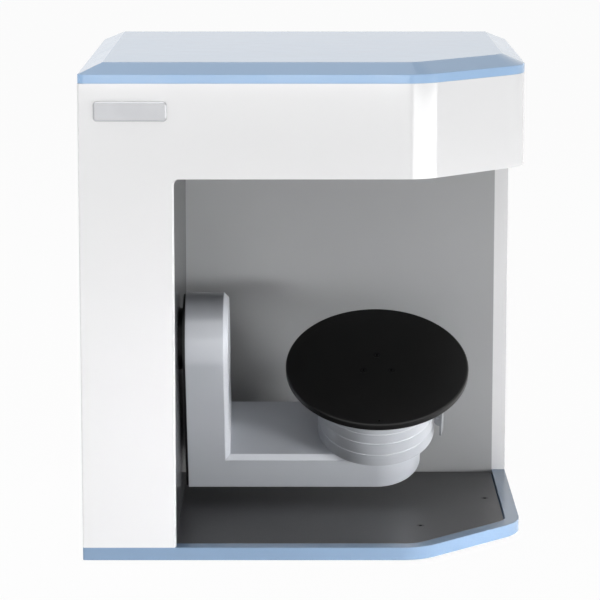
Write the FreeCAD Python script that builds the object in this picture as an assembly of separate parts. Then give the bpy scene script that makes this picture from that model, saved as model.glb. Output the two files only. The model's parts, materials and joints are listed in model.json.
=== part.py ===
import FreeCAD, Part
import os
from math import acos, atan2, cos, degrees, pi, radians, sin, tan

# Desktop 3D scanner: a C-shaped cabinet with an open scan bay, a swing arm that carries a turntable,
# and optics in the head that look down at the plate. Millimetres, +Z up, +X to the right of someone
# who faces the bay, -Y towards them. The origin is at the table, under the middle of the footprint.

V = FreeCAD.Vector
X_AXIS = V(1, 0, 0)
Y_AXIS = V(0, 1, 0)
Z_AXIS = V(0, 0, 1)

# ---------------------------------------------------------------- driving dimensions, millimetres
# Cabinet footprint
cabinet_width = 305.0
cabinet_depth = 290.0
chamfer_setback = 73.0          # front right corner, cut at 45 degrees
chamfer_front_radius = 32.0
chamfer_side_radius = 40.0
body_corner_radius = 1.5
lid_corner_radius = 4.5

# Heights, from the table up
foot_height = 2.0
base_height = 8.8
body_height = 318.3
lid_rim_height = 6.0
lid_rise = 6.9                  # of the sloping facets round the lid
lid_inset = 16.1                # of the lid's flat top from its rim

# Shell and bay
wall = 3.0
column_width = 62.75            # outside face to the bay's left wall
bay_depth = 236.0               # front plane to the bay's back wall
head_height = 64.25             # head's lower edge to the lid
opening_corner_radius = 4.5
return_flange = 10.0            # white strip at the right of the bay's back wall
panel_thickness = 2.0
seam = 0.3                      # between a cover and what it closes

# Base tray and floor panel
rim_front = 12.0
rim_chamfer = 11.0
rim_side = 10.0
rim_drop = 2.0                  # floor panel below the rim
rim_corner_radius = 22.0
floor_gap = 0.8                 # between floor panel and rim
floor_screws_from_right = (71.0, 20.5)
floor_screws_from_front = (70.0, 151.5)
underside_depth = 2.4
underside_rim = 9.0
underside_rib = 3.0
foot_radius = 10.0
foot_inset = 27.0
foot_socket = 1.0

# Rear cover
rear_flange = 12.0
rear_flange_thickness = 2.5
vent_width = 46.0
vent_height = 3.0
vent_pitch = 7.0
vent_rows = 9
vent_columns = 2
vent_column_gap = 10.0
vent_from_socket = 38.0         # data socket's axis to the first vent
vent_from_base = 24.0
grille_hub = 7.0                # radius of the solid middle of the fan grille
grille_ring_width = 3.4
grille_ring_gap = 3.2

# Swing arm, measured about its pivot axis with the arm hanging straight
pivot_from_front = 110.0
pivot_height = 136.2
arm_tilt = 28.42                # degrees, towards the front, at rest
arm_gap = 4.75                  # between the bay's left wall and the leg
arm_leg_thickness = 30.5
arm_half_depth = 32.8
arm_drop = 113.1                # pivot to the arm's underside
arm_foot_height = 29.0
arm_edge_chamfer = 3.4
arm_cover_thickness = 2.0
arm_cover_margin = 6.0
arm_pocket_margin = 4.0
arm_pocket_depth = 12.0
arm_liner_thickness = 1.6
arm_liner_inset = 1.0

# Turntable
turntable_from_right = 100.75   # cabinet's right side to the turntable's axis
drum_radius = 42.6
drum_height = 51.9
drum_wall = 3.0
drum_floor = 3.0
drum_cap = 5.0
cap_ledge = 2.5
drum_ring_heights = (10.3, 20.8, 29.4)
drum_groove = 0.5               # depth, and half the width
plate_radius = 65.8
plate_thickness = 5.6
plate_edge_chamfer = 1.0
plate_gap = 1.5                 # between drum and plate
index_radius = 1.1
index_depth = 0.8
index_from_edge = 4.1
spindle_radius = 4.0
spindle_flange_radius = 17.0
spindle_flange_thickness = 3.9
plate_screw_circle = 11.5
running_clearance = 0.05

# Release lever on the right of the drum
lever_angle = -15.0             # degrees round the drum, from +X
lever_width = 7.0
lever_stand_off = 1.3
lever_thickness = 5.6
lever_tail_thickness = 1.4
lever_block_height = 19.0
lever_tail_length = 9.0
lever_block_top = 34.0          # above the drum's foot
lever_pin_radius = 1.0
lever_pin_drop = 12.0           # pin below the lever's top
lug_thickness = 2.2
lug_gap = 0.3
lug_nose_radius = 1.8
lug_slot_half_height = 4.0      # the lever's slot, above and below the pin
lever_face_thickness = 1.0      # left outside the slot
lever_pin_recess = 0.3          # pin's ends below the lever's sides

# Drive of the arm, in the column
shaft_radius = 10.0
shaft_flange_radius = 22.0
flange_clearance = 1.0          # round the flange, in the bay's left wall
frame_bore_clearance = 3.0      # round the shaft, in the column frame
shaft_socket = 18.0
swing_bearing_radius = 18.5
swing_bearing_width = 9.0
frame_thickness = 3.0
frame_flange = 20.0
block_width = 54.0
block_length = 25.0
swing_module = 1.25
swing_teeth = 56
swing_pinion_teeth = 18
swing_gear_width = 8.0
swing_hub_radius = 16.0
swing_motor_radius = 16.0
swing_motor_back_gap = 1.0      # behind the motor, to the column frame
swing_gear_gap = 3.0            # between the gear and what lies beside it
bracket_plate = 3.0
bracket_wall = 2.5
bracket_size = 46.0
bracket_foot = 9.0

# Drive of the turntable, in the drum
spin_module = 0.8
spin_teeth = 44
spin_pinion_teeth = 18
spin_gear_width = 6.0
spin_gear_lift = 21.1           # gear above the drum's floor
spin_motor_radius = 10.0
spin_motor_length = 19.0
motor_shaft_radius = 1.5
spin_motor_angle = 180.0        # degrees round the drum, from +X
top_bearing_radius = 11.0
top_bearing_width = 7.0
foot_bearing_radius = 8.0
foot_bearing_width = 5.0
tooth_play = 0.16
pressure_angle = 20.0           # degrees

# Optics in the head
optics_tilt = 12.0              # degrees, of the viewing axis from upright
window_depth = 66.0
window_lap = 5.0
glass_thickness = 2.0
ceiling_recess = 1.5
head_lip = 6.0
optics_height = 21.0            # optics plate above the ceiling, at its middle
optics_plate_depth = 54.0
optics_plate_thickness = 3.0
support_width = 7.5
optics_clearance = 6.0          # between the optics supports and the shell's inside
camera_gap = 1.3                # between a camera and the support beside it
camera_size = 26.0
camera_height = 30.0
camera_lens_radius = 8.5
camera_lens_length = 11.0
projector_gap = 14.0            # between the projector and each camera
projector_depth = 44.0
projector_height = 36.0
projector_corner = 3.0
fin_pitch = 6.0
fin_height = 7.0
projector_lens_radius = 11.0
projector_lens_length = 8.0

# Electrics
board_width = 150.0
board_height = 120.0
board_thickness = 1.6
board_from_left = 20.0          # bay's left wall to the board
board_from_base = 100.0
board_hole_inset = 6.0
chip_height = 2.5
connector_height = 9.0
capacitor_count = 5
capacitor_radius = 3.2
capacitor_pitch = 9.0
standoff_height = 8.0
supply_width = 40.0
supply_depth = 95.0
supply_height = 66.0
supply_wall = 1.5
supply_slot_pitch = 8.0
fan_size = 60.0
fan_depth = 15.0
fan_blades = 7
fan_duct_wall = 2.0
fan_corner = 4.0
fan_arm_width = 3.0
fan_arm_thickness = 2.0
fan_tip_gap = 1.0
fan_blade_thickness = 1.2
fan_blade_chord = 14.0
fan_blade_pitch = 52.0          # degrees
inlet_from_base = 34.0          # inlet's centre above the base
inlet_width = 27.0
inlet_height = 20.0
inlet_depth = 18.0
inlet_wall = 1.6
inlet_flange = 3.0
inlet_flange_thickness = 2.0
inlet_pin_length = 10.0
inlet_pin_width = 2.0
inlet_pin_height = 4.0
inlet_pin_spread = 7.0          # outer pins from the middle one, sideways
inlet_pin_offset = 2.0          # of the pins from the inlet's centre, up or down
switch_gap = 10.0               # between the inlet's flange and the switch
switch_width = 13.0
switch_height = 19.0
switch_depth = 12.0
switch_rim = 1.4
rocker_clearance = 0.35
rocker_axle_radius = 1.0
rocker_axle_depth = 3.0         # axle below the rear face
rocker_nose = 4.2               # rocker's edges behind its axle
rocker_heel = 2.4               # and ahead of it
rocker_dish = 1.2
rocker_tilt = 8.0               # degrees, from level, at rest
socket_from_left = 34.0         # bay's left wall to the socket's centre
socket_width = 16.0
socket_height = 13.5
socket_depth = 16.0
socket_cavity_width = 11.8
socket_cavity_height = 8.2
socket_floor = 3.0
socket_notch_wall = 1.0
contact_count = 8
contact_pitch = 1.27
contact_width = 0.4

# Badge plate and small screws
badge_width = 49.2
badge_height = 13.4
badge_thickness = 1.5
badge_bevel = 1.0
badge_corner = 2.4
badge_from_left = 10.5
badge_below_lid = 11.9
small_screw_radius = 1.5
small_head_radius = 2.8
cover_screw_length = 5.0        # under its head
screw_clearance = 0.05

# ---------------------------------------------------------------- places worked out from them
left = -cabinet_width / 2
right = cabinet_width / 2
front = -cabinet_depth / 2
rear = cabinet_depth / 2
base_bottom = foot_height
base_top = base_bottom + base_height
body_top = base_top + body_height
head_bottom = body_top - head_height
lid_rim_top = body_top + lid_rim_height
lid_top = lid_rim_top + lid_rise
bay_left = left + column_width
bay_back = front + bay_depth
floor_top = base_top - rim_drop
pocket_floor = floor_top - panel_thickness
ceiling_bottom = head_bottom + ceiling_recess
ceiling_top = ceiling_bottom + panel_thickness
cover_inside = rear - wall

pivot = V(0, front + pivot_from_front, pivot_height)
leg_left = bay_left + arm_gap
leg_right = leg_left + arm_leg_thickness
arm_foot_top = arm_foot_height - arm_drop
table_x = right - turntable_from_right
drum_top = arm_foot_top + drum_height
plate_bottom = drum_top + plate_gap
plate_top = plate_bottom + plate_thickness

frame_left = bay_left - panel_thickness - frame_thickness
block_left = frame_left - block_length
swing_gear_right = block_left - swing_gear_gap
swing_gear_left = swing_gear_right - swing_gear_width
swing_pitch = swing_module * swing_teeth / 2
swing_centres = swing_module * (swing_teeth + swing_pinion_teeth) / 2
spin_centres = spin_module * (spin_teeth + spin_pinion_teeth) / 2

SHELL_EDGES = ("front", "chamfer", "side", "back", "left")


# ---------------------------------------------------------------- geometry helpers
def box(x0, x1, y0, y1, z0, z1):
    """Solid block between two corners."""
    return Part.makeBox(x1 - x0, y1 - y0, z1 - z0, V(x0, y0, z0))


def rod(radius, start, end):
    """Solid cylinder from one point to another."""
    axis = end - start
    return Part.makeCylinder(radius, axis.Length, start, axis)


def rounded_wire(corners, radii):
    """Closed outline through the corners, each rounded by an arc of its own radius."""
    edges = []
    ends = []
    count = len(corners)
    for i in range(count):
        corner = corners[i]
        back = (corners[i - 1] - corner).normalize()
        ahead = (corners[(i + 1) % count] - corner).normalize()
        if radii[i] < 1e-6:
            ends.append((corner, None, corner))
            continue
        half = acos(max(-1.0, min(1.0, back.dot(ahead)))) / 2
        middle = (back + ahead).normalize()
        start = corner + back * (radii[i] / tan(half))
        end = corner + ahead * (radii[i] / tan(half))
        top = corner + middle * (radii[i] / sin(half) - radii[i])
        ends.append((start, top, end))
    for i in range(count):
        start, top, end = ends[i]
        if top is not None:
            edges.append(Part.Arc(start, top, end).toShape())
        following = ends[(i + 1) % count][0]
        if (following - end).Length > 1e-5:
            edges.append(Part.LineSegment(end, following).toShape())
    return Part.Wire(edges)


def flat_corners(x0, x1, y0, y1, z):
    """Corners of a level rectangle, counter-clockwise from above."""
    return [V(x0, y0, z), V(x1, y0, z), V(x1, y1, z), V(x0, y1, z)]


def upright_corners(x0, x1, y, z0, z1):
    """Corners of an upright rectangle that faces front and rear."""
    return [V(x0, y, z0), V(x1, y, z0), V(x1, y, z1), V(x0, y, z1)]


def prism(corners, radii, direction):
    """Rounded outline carried along a direction."""
    return Part.Face(rounded_wire(corners, radii)).extrude(direction)


def inset_polygon(corners, insets):
    """Corners of the polygon whose edge i lies insets[i] inside edge i of a counter-clockwise one."""
    lines = []
    count = len(corners)
    for i in range(count):
        direction = (corners[(i + 1) % count] - corners[i]).normalize()
        inward = V(-direction.y, direction.x, 0)
        lines.append((corners[i] + inward * insets[i], direction))
    moved = []
    for i in range(count):
        p, d = lines[i - 1]
        q, e = lines[i]
        gap = q - p
        along = (gap.x * e.y - gap.y * e.x) / (d.x * e.y - d.y * e.x)
        moved.append(p + d * along)
    return moved


def footprint(inset, z):
    """Cabinet outline at height z, inset by one distance or by one for each edge of SHELL_EDGES."""
    insets = inset if isinstance(inset, (tuple, list)) else [inset] * len(SHELL_EDGES)
    corners = [V(left, front, z), V(right - chamfer_setback, front, z),
               V(right, front + chamfer_setback, z), V(right, rear, z), V(left, rear, z)]
    return inset_polygon(corners, insets)


def cabinet_radii(corner_radius, inset):
    """Radii of the outline's five corners after an inset."""
    full = (corner_radius, chamfer_front_radius, chamfer_side_radius, corner_radius, corner_radius)
    return [max(radius - inset, 0.3) for radius in full]


def cabinet_slab(inset, corner_radius, z0, z1):
    """Slab with the cabinet's outline, inset all round."""
    return prism(footprint(inset, z0), cabinet_radii(corner_radius, inset), V(0, 0, z1 - z0))


def cabinet_ring(outer, inner, z0, z1):
    """Upright band that follows the cabinet's outline between two insets."""
    return cabinet_slab(outer, body_corner_radius, z0, z1).cut(
        cabinet_slab(inner, body_corner_radius, z0, z1))


def revolve(profile, centre):
    """Solid turned from (radius, height) points about +Z through centre."""
    points = [centre + V(r, 0, z) for r, z in profile]
    points.append(points[0])
    return Part.Face(Part.makePolygon(points)).revolve(centre, Z_AXIS, 360)


def ring(outer, inner, z0, z1, centre):
    """Flat ring about +Z."""
    base = centre + V(0, 0, z0)
    body = Part.makeCylinder(outer, z1 - z0, base)
    return body.cut(Part.makeCylinder(inner, z1 - z0, base))


def along_x(shape, place):
    """Shape built about +Z turned so that its Z becomes X, its X becomes Y and its Y becomes Z."""
    turned = shape.rotated(V(0, 0, 0), V(1, 1, 1), 120)
    return turned.translated(place)


def on_arm(shape):
    """Shape in the arm's own upright frame, tilted and moved to the pivot."""
    return shape.rotated(V(0, 0, 0), X_AXIS, arm_tilt).translated(pivot)


def group(shapes):
    """Separate solids kept together in one node."""
    return Part.makeCompound(shapes)


def save(name, shape):
    """Write one node."""
    shape.exportStep("parts/" + name + ".step")


# ---------------------------------------------------------------- screws
SOCKET_SHARE = 0.5              # hexagon socket's width as a share of the head's radius


def hexagon(width, depth, top, direction):
    """Hexagonal plug, used to cut a driver socket."""
    points = [V(width * cos(radians(60 * i)), width * sin(radians(60 * i)), 0) for i in range(6)]
    points.append(points[0])
    plug = Part.Face(Part.makePolygon(points)).extrude(V(0, 0, -depth))
    turn = FreeCAD.Rotation(Z_AXIS, direction)
    plug.Placement = FreeCAD.Placement(top, turn)
    return plug


def pan_screw(seat, outwards):
    """Pan-head screw whose head sits on seat and whose shank runs inwards."""
    head_height = small_head_radius * 0.55
    head = Part.makeCylinder(small_head_radius, head_height, seat, outwards)
    shank = Part.makeCylinder(small_screw_radius, cover_screw_length, seat, outwards * -1)
    socket = hexagon(small_head_radius * SOCKET_SHARE, head_height * 0.7,
                     seat + outwards * head_height, outwards)
    return head.fuse(shank).cut(socket)


def flush_screw(top, outwards, length):
    """Countersunk screw whose head is flush at top."""
    depth = small_head_radius - small_screw_radius
    head = Part.makeCone(small_head_radius, small_screw_radius, depth, top, outwards * -1)
    shank = Part.makeCylinder(small_screw_radius, length, top, outwards * -1)
    socket = hexagon(small_head_radius * SOCKET_SHARE, depth * 0.8, top, outwards)
    return head.fuse(shank).cut(socket)


def flush_hole(top, outwards, length):
    """Countersunk hole for a flush screw, with its clearance."""
    depth = small_head_radius - small_screw_radius
    sink = Part.makeCone(small_head_radius + screw_clearance, small_screw_radius + screw_clearance,
                         depth, top, outwards * -1)
    bore = Part.makeCylinder(small_screw_radius + screw_clearance, length + screw_clearance, top,
                             outwards * -1)
    return sink.fuse(bore)


def plain_hole(seat, outwards, length):
    """Hole for the shank of a pan-head screw."""
    return Part.makeCylinder(small_screw_radius + screw_clearance, length + screw_clearance, seat,
                             outwards * -1)


# ---------------------------------------------------------------- spur gears
def involute(angle):
    """Involute function of an angle in radians."""
    return tan(angle) - angle


def gear_blank(teeth, module, first_tooth, width):
    """Spur gear with involute flanks about +Z from z = 0; one tooth points at first_tooth degrees."""
    pitch = teeth * module / 2
    base = pitch * cos(radians(pressure_angle))
    tip = pitch + module
    root = pitch - 1.25 * module
    start = max(base, root)
    half_pitch = pi / (2 * teeth) - tooth_play / (2 * pitch)

    def half_tooth(radius):
        lean = acos(min(1.0, base / radius))
        return half_pitch + involute(radians(pressure_angle)) - involute(lean)

    flank = [(start, half_tooth(start)), (pitch, half_tooth(pitch)), (tip, half_tooth(tip))]
    if root < start:
        flank.insert(0, (root, half_tooth(start)))
    points = []
    for i in range(teeth):
        middle = radians(first_tooth) + 2 * pi * i / teeth
        for radius, half in flank:
            points.append(V(radius * cos(middle - half), radius * sin(middle - half), 0))
        for radius, half in reversed(flank):
            points.append(V(radius * cos(middle + half), radius * sin(middle + half), 0))
    points.append(points[0])
    return Part.Face(Part.makePolygon(points)).extrude(V(0, 0, width))


# ---------------------------------------------------------------- base tray, floor and feet
def pocket_insets(gap):
    """Insets of the floor recess from the cabinet's edges, plus a gap."""
    back = rear - bay_back - panel_thickness
    side_left = bay_left - panel_thickness - left
    return [rim_front + gap, rim_chamfer + gap, rim_side + gap, back, side_left]


def floor_outline(gap, z, height):
    """Slab that fills the floor recess, smaller by a gap at the rim."""
    radius = rim_corner_radius - gap
    return prism(footprint(pocket_insets(gap), z), [0, radius, radius, 0, 0], V(0, 0, height))


def foot_places():
    """Centres of the four feet."""
    return [V(left + foot_inset, front + foot_inset, 0),
            V(right - chamfer_setback, front + foot_inset + foot_radius, 0),
            V(right - foot_inset, rear - foot_inset, 0),
            V(left + foot_inset, rear - foot_inset, 0)]


def floor_screw_places():
    """Two screws near the chamfer hold the floor panel."""
    return [V(right - dx, front + dy, floor_top)
            for dx, dy in zip(floor_screws_from_right, floor_screws_from_front)]


def base_tray():
    """Moulded tray: raised rim round the floor recess, ribs and foot sockets underneath."""
    tray = cabinet_slab(0, body_corner_radius, base_bottom, base_top)
    tray = tray.cut(floor_outline(0, pocket_floor, base_top - pocket_floor + 1))
    hollow = cabinet_slab(underside_rim, body_corner_radius, base_bottom, base_bottom + underside_depth)
    ribs = []
    rib_count = 4
    for i in range(1, rib_count + 1):
        x = left + cabinet_width * i / (rib_count + 1)
        ribs.append(box(x - underside_rib / 2, x + underside_rib / 2, front, rear, base_bottom, base_top))
        y = front + cabinet_depth * i / (rib_count + 1)
        ribs.append(box(left, right, y - underside_rib / 2, y + underside_rib / 2, base_bottom, base_top))
    pads = [rod(foot_radius + underside_rib, p + V(0, 0, base_bottom), p + V(0, 0, base_top))
            for p in foot_places()]
    tray = tray.cut(hollow.cut(ribs + pads))
    sockets = [rod(foot_radius, p + V(0, 0, base_bottom), p + V(0, 0, base_bottom + foot_socket))
               for p in foot_places()]
    holes = [flush_hole(p, Z_AXIS, cover_screw_length) for p in floor_screw_places()]
    holes += [flush_hole(p, Z_AXIS, frame_thickness + cover_screw_length) for p in frame_screw_places()]
    return tray.cut(sockets + holes)


def rubber_feet():
    """Four turned rubber feet pressed into their sockets."""
    height = foot_height + foot_socket
    chamfer = foot_height / 2
    profile = [(0, 0), (foot_radius - chamfer, 0), (foot_radius, chamfer), (foot_radius, height),
               (0, height)]
    return group([revolve(profile, p) for p in foot_places()])


def floor_panel():
    """Dark sheet in the base recess, cut round the bay's panels."""
    panel = floor_outline(floor_gap, pocket_floor, panel_thickness)
    panel = panel.common(box(bay_left, right, front, bay_back, pocket_floor, floor_top))
    return panel.cut([flush_hole(p, Z_AXIS, cover_screw_length) for p in floor_screw_places()])


def floor_screws():
    """Flush screws through the floor panel."""
    return group([flush_screw(p, Z_AXIS, cover_screw_length) for p in floor_screw_places()])


# ---------------------------------------------------------------- body shell and covers
def bay_opening():
    """Space of the scan bay's front and side opening, rounded at its upper left corner."""
    beyond = wall
    corners = upright_corners(bay_left, right + beyond, front - beyond, base_top - beyond, head_bottom)
    return prism(corners, [0, 0, 0, opening_corner_radius], V(0, bay_depth + beyond, 0))


def skirt_depth():
    """How far the lid's locating rib drops into the shell."""
    return wall + 1.0


def body_shell():
    """White wrap with its return flange, head lip and rear flange: two sheets, butt-welded.

    The column's sheet ends where the opening's round corner runs out, and the head's sheet goes on.
    """
    shell = cabinet_ring(0, wall, base_top, body_top)
    shell = shell.cut(box(left + wall, right - wall, cover_inside - wall, rear + wall, base_top, body_top))
    shell = shell.cut(bay_opening())
    flange = box(right - return_flange, right - wall / 2, bay_back, bay_back + wall, base_top,
                 ceiling_bottom)
    lip = cabinet_ring(wall / 2, wall + head_lip, head_bottom, ceiling_bottom)
    lip = lip.common(box(bay_left, right, front, bay_back, head_bottom, ceiling_bottom))
    flange_top = body_top - skirt_depth() - seam
    y0 = cover_inside - rear_flange_thickness
    frame = box(left + wall / 2, right - wall / 2, y0, cover_inside, base_top, flange_top)
    frame = frame.cut(box(left + wall + rear_flange, right - wall - rear_flange, y0, cover_inside,
                          base_top + rear_flange, flange_top - rear_flange))
    shell = shell.fuse([flange, lip, frame]).removeSplitter()
    shell = shell.cut([plain_hole(p, Y_AXIS, cover_screw_length + wall) for p in rear_screw_places()])
    column = box(left, bay_left + opening_corner_radius, front, rear, base_top, body_top)
    return group([shell.common(column), shell.cut(column)])


def rear_screw_places():
    """Six screws round the rear cover."""
    inset = wall + rear_flange / 2
    places = []
    for x in (left + inset, right - inset):
        for z in (base_top + inset, (base_top + body_top) / 2, body_top - skirt_depth() - inset):
            places.append(V(x, rear, z))
    return places


def fan_centre():
    """Centre of the fan on the rear cover's inside."""
    return V(right - fan_size * 1.25, cover_inside, body_top - fan_size * 1.35)


def inlet_centre():
    """Centre of the mains inlet on the rear cover."""
    return V(left + column_width / 2, rear, base_top + inlet_from_base)


def switch_centre():
    """Centre of the rocker switch, above the inlet."""
    return inlet_centre() + V(0, 0, inlet_height / 2 + inlet_flange + switch_height / 2 + switch_gap)


def socket_centre():
    """Centre of the data socket, beside the inlet."""
    return V(bay_left + socket_from_left, rear, inlet_centre().z)


def fan_grille():
    """Ring slots in front of the fan, crossed by four webs that stay."""
    centre = fan_centre()
    reach = fan_size / 2 - fan_duct_wall
    slots = []
    inner = grille_hub
    while inner + grille_ring_gap < reach:
        tube = rod(inner + grille_ring_gap, V(centre.x, cover_inside, centre.z), V(centre.x, rear, centre.z))
        core = rod(inner, V(centre.x, cover_inside, centre.z), V(centre.x, rear, centre.z))
        slots.append(tube.cut(core))
        inner += grille_ring_gap + grille_ring_width
    half = grille_ring_width / 2
    webs = []
    for turn in (45, -45):
        web = box(-reach, reach, cover_inside, rear, -half, half).rotated(V(0, 0, 0), Y_AXIS, turn)
        webs.append(web.translated(V(centre.x, 0, centre.z)))
    return [slot.cut(webs) for slot in slots]


def vent_slots():
    """Columns of rounded slots low on the rear cover."""
    slots = []
    for column in range(vent_columns):
        x0 = socket_centre().x + vent_from_socket + column * (vent_width + vent_column_gap)
        for row in range(vent_rows):
            z0 = base_top + vent_from_base + row * vent_pitch
            corners = upright_corners(x0, x0 + vent_width, cover_inside, z0, z0 + vent_height)
            slots.append(prism(corners, [vent_height * 0.45] * 4, V(0, wall, 0)))
    return slots


def rear_cut(centre, width, height):
    """Rectangular cut-out through the rear cover."""
    return box(centre.x - width / 2, centre.x + width / 2, cover_inside, rear,
               centre.z - height / 2, centre.z + height / 2)


def rear_cover():
    """Flat cover with the fan grille, vents and cut-outs for inlet, switch and socket."""
    cover = box(left + wall + seam, right - wall - seam, cover_inside, rear, base_top + seam,
                body_top - seam)
    cuts = fan_grille() + vent_slots()
    cuts.append(rear_cut(inlet_centre(), inlet_width, inlet_height))
    cuts.append(rear_cut(switch_centre(), switch_width, switch_height))
    cuts.append(rear_cut(socket_centre(), socket_width, socket_height))
    cuts += [plain_hole(p, Y_AXIS, wall) for p in rear_screw_places()]
    return cover.cut(cuts)


def rear_cover_screws():
    """Pan-head screws of the rear cover."""
    return group([pan_screw(p, Y_AXIS) for p in rear_screw_places()])


def lid_loft(z0, inset0, z1, inset1, corner_radius):
    """Sloping band between two insets of the cabinet's outline."""
    low = rounded_wire(footprint(inset0, z0), cabinet_radii(corner_radius, inset0))
    high = rounded_wire(footprint(inset1, z1), cabinet_radii(corner_radius, inset1))
    return Part.makeLoft([low, high], True, True)


def top_cover():
    """Faceted lid: upright rim, sloping facets, flat top, hollow underneath with a locating rib."""
    outside = cabinet_slab(0, lid_corner_radius, body_top, lid_rim_top)
    outside = outside.fuse(lid_loft(lid_rim_top, 0, lid_top, lid_inset, lid_corner_radius))
    inside = cabinet_slab(wall, lid_corner_radius, body_top, lid_rim_top - wall / 2)
    inside = inside.fuse(lid_loft(lid_rim_top - wall / 2, wall, lid_top - wall, lid_inset + wall / 2,
                                  lid_corner_radius))
    rib = cabinet_ring(wall, wall + 2.3, body_top, body_top + wall)
    skirt = cabinet_ring(wall + seam, wall + 2.3, body_top - skirt_depth(), body_top)
    return outside.cut(inside).fuse([rib, skirt]).removeSplitter()


def bay_left_wall():
    """Grey panel on the bay's left, with the hole for the shaft's flange."""
    panel = box(bay_left - panel_thickness, bay_left, front + wall, bay_back, base_top, ceiling_bottom)
    tongue = box(bay_left - panel_thickness, bay_left, front + rim_front, bay_back, pocket_floor, base_top)
    hole = rod(shaft_flange_radius + flange_clearance, pivot + V(bay_left - panel_thickness, 0, 0),
               pivot + V(bay_left, 0, 0))
    return panel.fuse(tongue).removeSplitter().cut(hole)


def bay_back_wall():
    """Grey panel at the back of the bay, up against the return flange."""
    return box(bay_left - panel_thickness, right - return_flange, bay_back, bay_back + panel_thickness,
               pocket_floor, ceiling_bottom)


def window_width():
    """Width of the window between the feet of the optics supports."""
    return 2 * (optics_half_width() - support_width - seam - window_lap)


def window_middle():
    """Middle of the window: where the viewing axis meets the ceiling."""
    target = on_arm(Part.Vertex(V(table_x, 0, plate_top))).Point
    rise = ceiling_bottom - target.z
    return V(table_x, target.y - rise * tan(radians(optics_tilt)), ceiling_bottom)


def bay_ceiling():
    """Panel over the bay, resting on the head's lip, with the window for the optics."""
    area = cabinet_slab(wall, body_corner_radius, ceiling_bottom, ceiling_top)
    area = area.common(box(bay_left - panel_thickness, right, front, bay_back + panel_thickness,
                           ceiling_bottom, ceiling_top))
    middle = window_middle()
    corners = flat_corners(middle.x - window_width() / 2, middle.x + window_width() / 2,
                           middle.y - window_depth / 2, middle.y + window_depth / 2, ceiling_bottom)
    return area.cut(prism(corners, [opening_corner_radius] * 4, V(0, 0, panel_thickness)))


def scan_window():
    """Glass pane lying on the ceiling over the window."""
    middle = window_middle()
    return box(middle.x - window_width() / 2 - window_lap, middle.x + window_width() / 2 + window_lap,
               middle.y - window_depth / 2 - window_lap, middle.y + window_depth / 2 + window_lap,
               ceiling_top, ceiling_top + glass_thickness)


def badge_plate():
    """Blank bevelled plate on the column's front."""
    x0 = left + badge_from_left
    z1 = body_top - badge_below_lid
    corners = upright_corners(x0, x0 + badge_width, front, z1 - badge_height, z1)
    land = badge_thickness - badge_bevel
    plate = prism(corners, [badge_corner] * 4, V(0, -land, 0))
    low = rounded_wire([c + V(0, -land, 0) for c in corners], [badge_corner] * 4)
    inner = upright_corners(x0 + badge_bevel, x0 + badge_width - badge_bevel, front - badge_thickness,
                            z1 - badge_height + badge_bevel, z1 - badge_bevel)
    high = rounded_wire(inner, [badge_corner - badge_bevel] * 4)
    return plate.fuse(Part.makeLoft([low, high], True, True))


# ---------------------------------------------------------------- column frame and arm drive
def frame_screw_places():
    """Screws through the column frame's foot."""
    x = frame_left - frame_flange / 2
    y0, y1 = frame_foot_span()
    return [V(x, y0 + (y1 - y0) * share, base_top + frame_thickness) for share in (0.1, 0.5, 0.9)]


def frame_foot_span():
    """Front and rear end of the frame's foot, which stops ahead of the power supply."""
    return front + wall * 2, supply_rear() - supply_depth - 3.0


def supply_rear():
    """Plane of the power supply's rear face, clear of the mains inlet."""
    return cover_inside - inlet_depth - 4.0


def column_frame():
    """Folded steel plate behind the bay's left wall, with a foot and lightening holes."""
    y0, foot_end = frame_foot_span()
    y1 = cover_inside - rear_flange_thickness - wall
    top = body_top - skirt_depth() - seam
    plate = box(frame_left, frame_left + frame_thickness, y0, y1, base_top, top)
    foot = box(frame_left - frame_flange, frame_left, y0, foot_end, base_top, base_top + frame_thickness)
    hem = box(frame_left - frame_flange, frame_left, y0, y1, top - frame_thickness, top)
    frame = plate.fuse([foot, hem])
    cuts = [rod(shaft_radius + frame_bore_clearance, pivot + V(frame_left, 0, 0),
                pivot + V(frame_left + frame_thickness, 0, 0))]
    hole = frame_flange
    for share in (0.28, 0.55, 0.82):
        for z in (ceiling_bottom - 2.5 * hole, body_top - 1.6 * hole):
            y = front + cabinet_depth * share
            cuts.append(rod(hole * 0.7, V(frame_left, y, z), V(frame_left + frame_thickness, y, z)))
    cuts += [flush_hole(p, Z_AXIS, frame_thickness + cover_screw_length) for p in frame_screw_places()]
    return frame.cut(cuts)


def frame_screws():
    """Screws of the column frame's foot, into the base tray."""
    length = frame_thickness + cover_screw_length
    return group([flush_screw(p, Z_AXIS, length) for p in frame_screw_places()])


def bearing_block():
    """Cast block on the column frame that holds the shaft's two bearings."""
    half = block_width / 2
    corners = [pivot + V(block_left, -half, -half), pivot + V(block_left, half, -half),
               pivot + V(block_left, half, half), pivot + V(block_left, -half, half)]
    block = prism(corners, [half * 0.4] * 4, V(block_length, 0, 0))
    cuts = [rod(shaft_radius + 2.0, pivot + V(block_left, 0, 0), pivot + V(frame_left, 0, 0))]
    for x in swing_bearing_places():
        cuts.append(rod(swing_bearing_radius, pivot + V(x, 0, 0), pivot + V(x + swing_bearing_width, 0, 0)))
    return block.cut(cuts)


def swing_bearing_places():
    """Left faces of the two bearings, one at each end of the block."""
    return (block_left, frame_left - swing_bearing_width)


def bearing(outer, bore, width):
    """Sealed bearing about +Z from z = 0, with its ring faces standing a little proud."""
    land = (outer - bore) * 0.3
    dish = width * 0.08
    profile = [(bore, 0), (bore + land, 0), (bore + land, dish), (outer - land, dish), (outer - land, 0),
               (outer, 0), (outer, width), (outer - land, width), (outer - land, width - dish),
               (bore + land, width - dish), (bore + land, width), (bore, width)]
    return revolve(profile, V(0, 0, 0))


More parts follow.
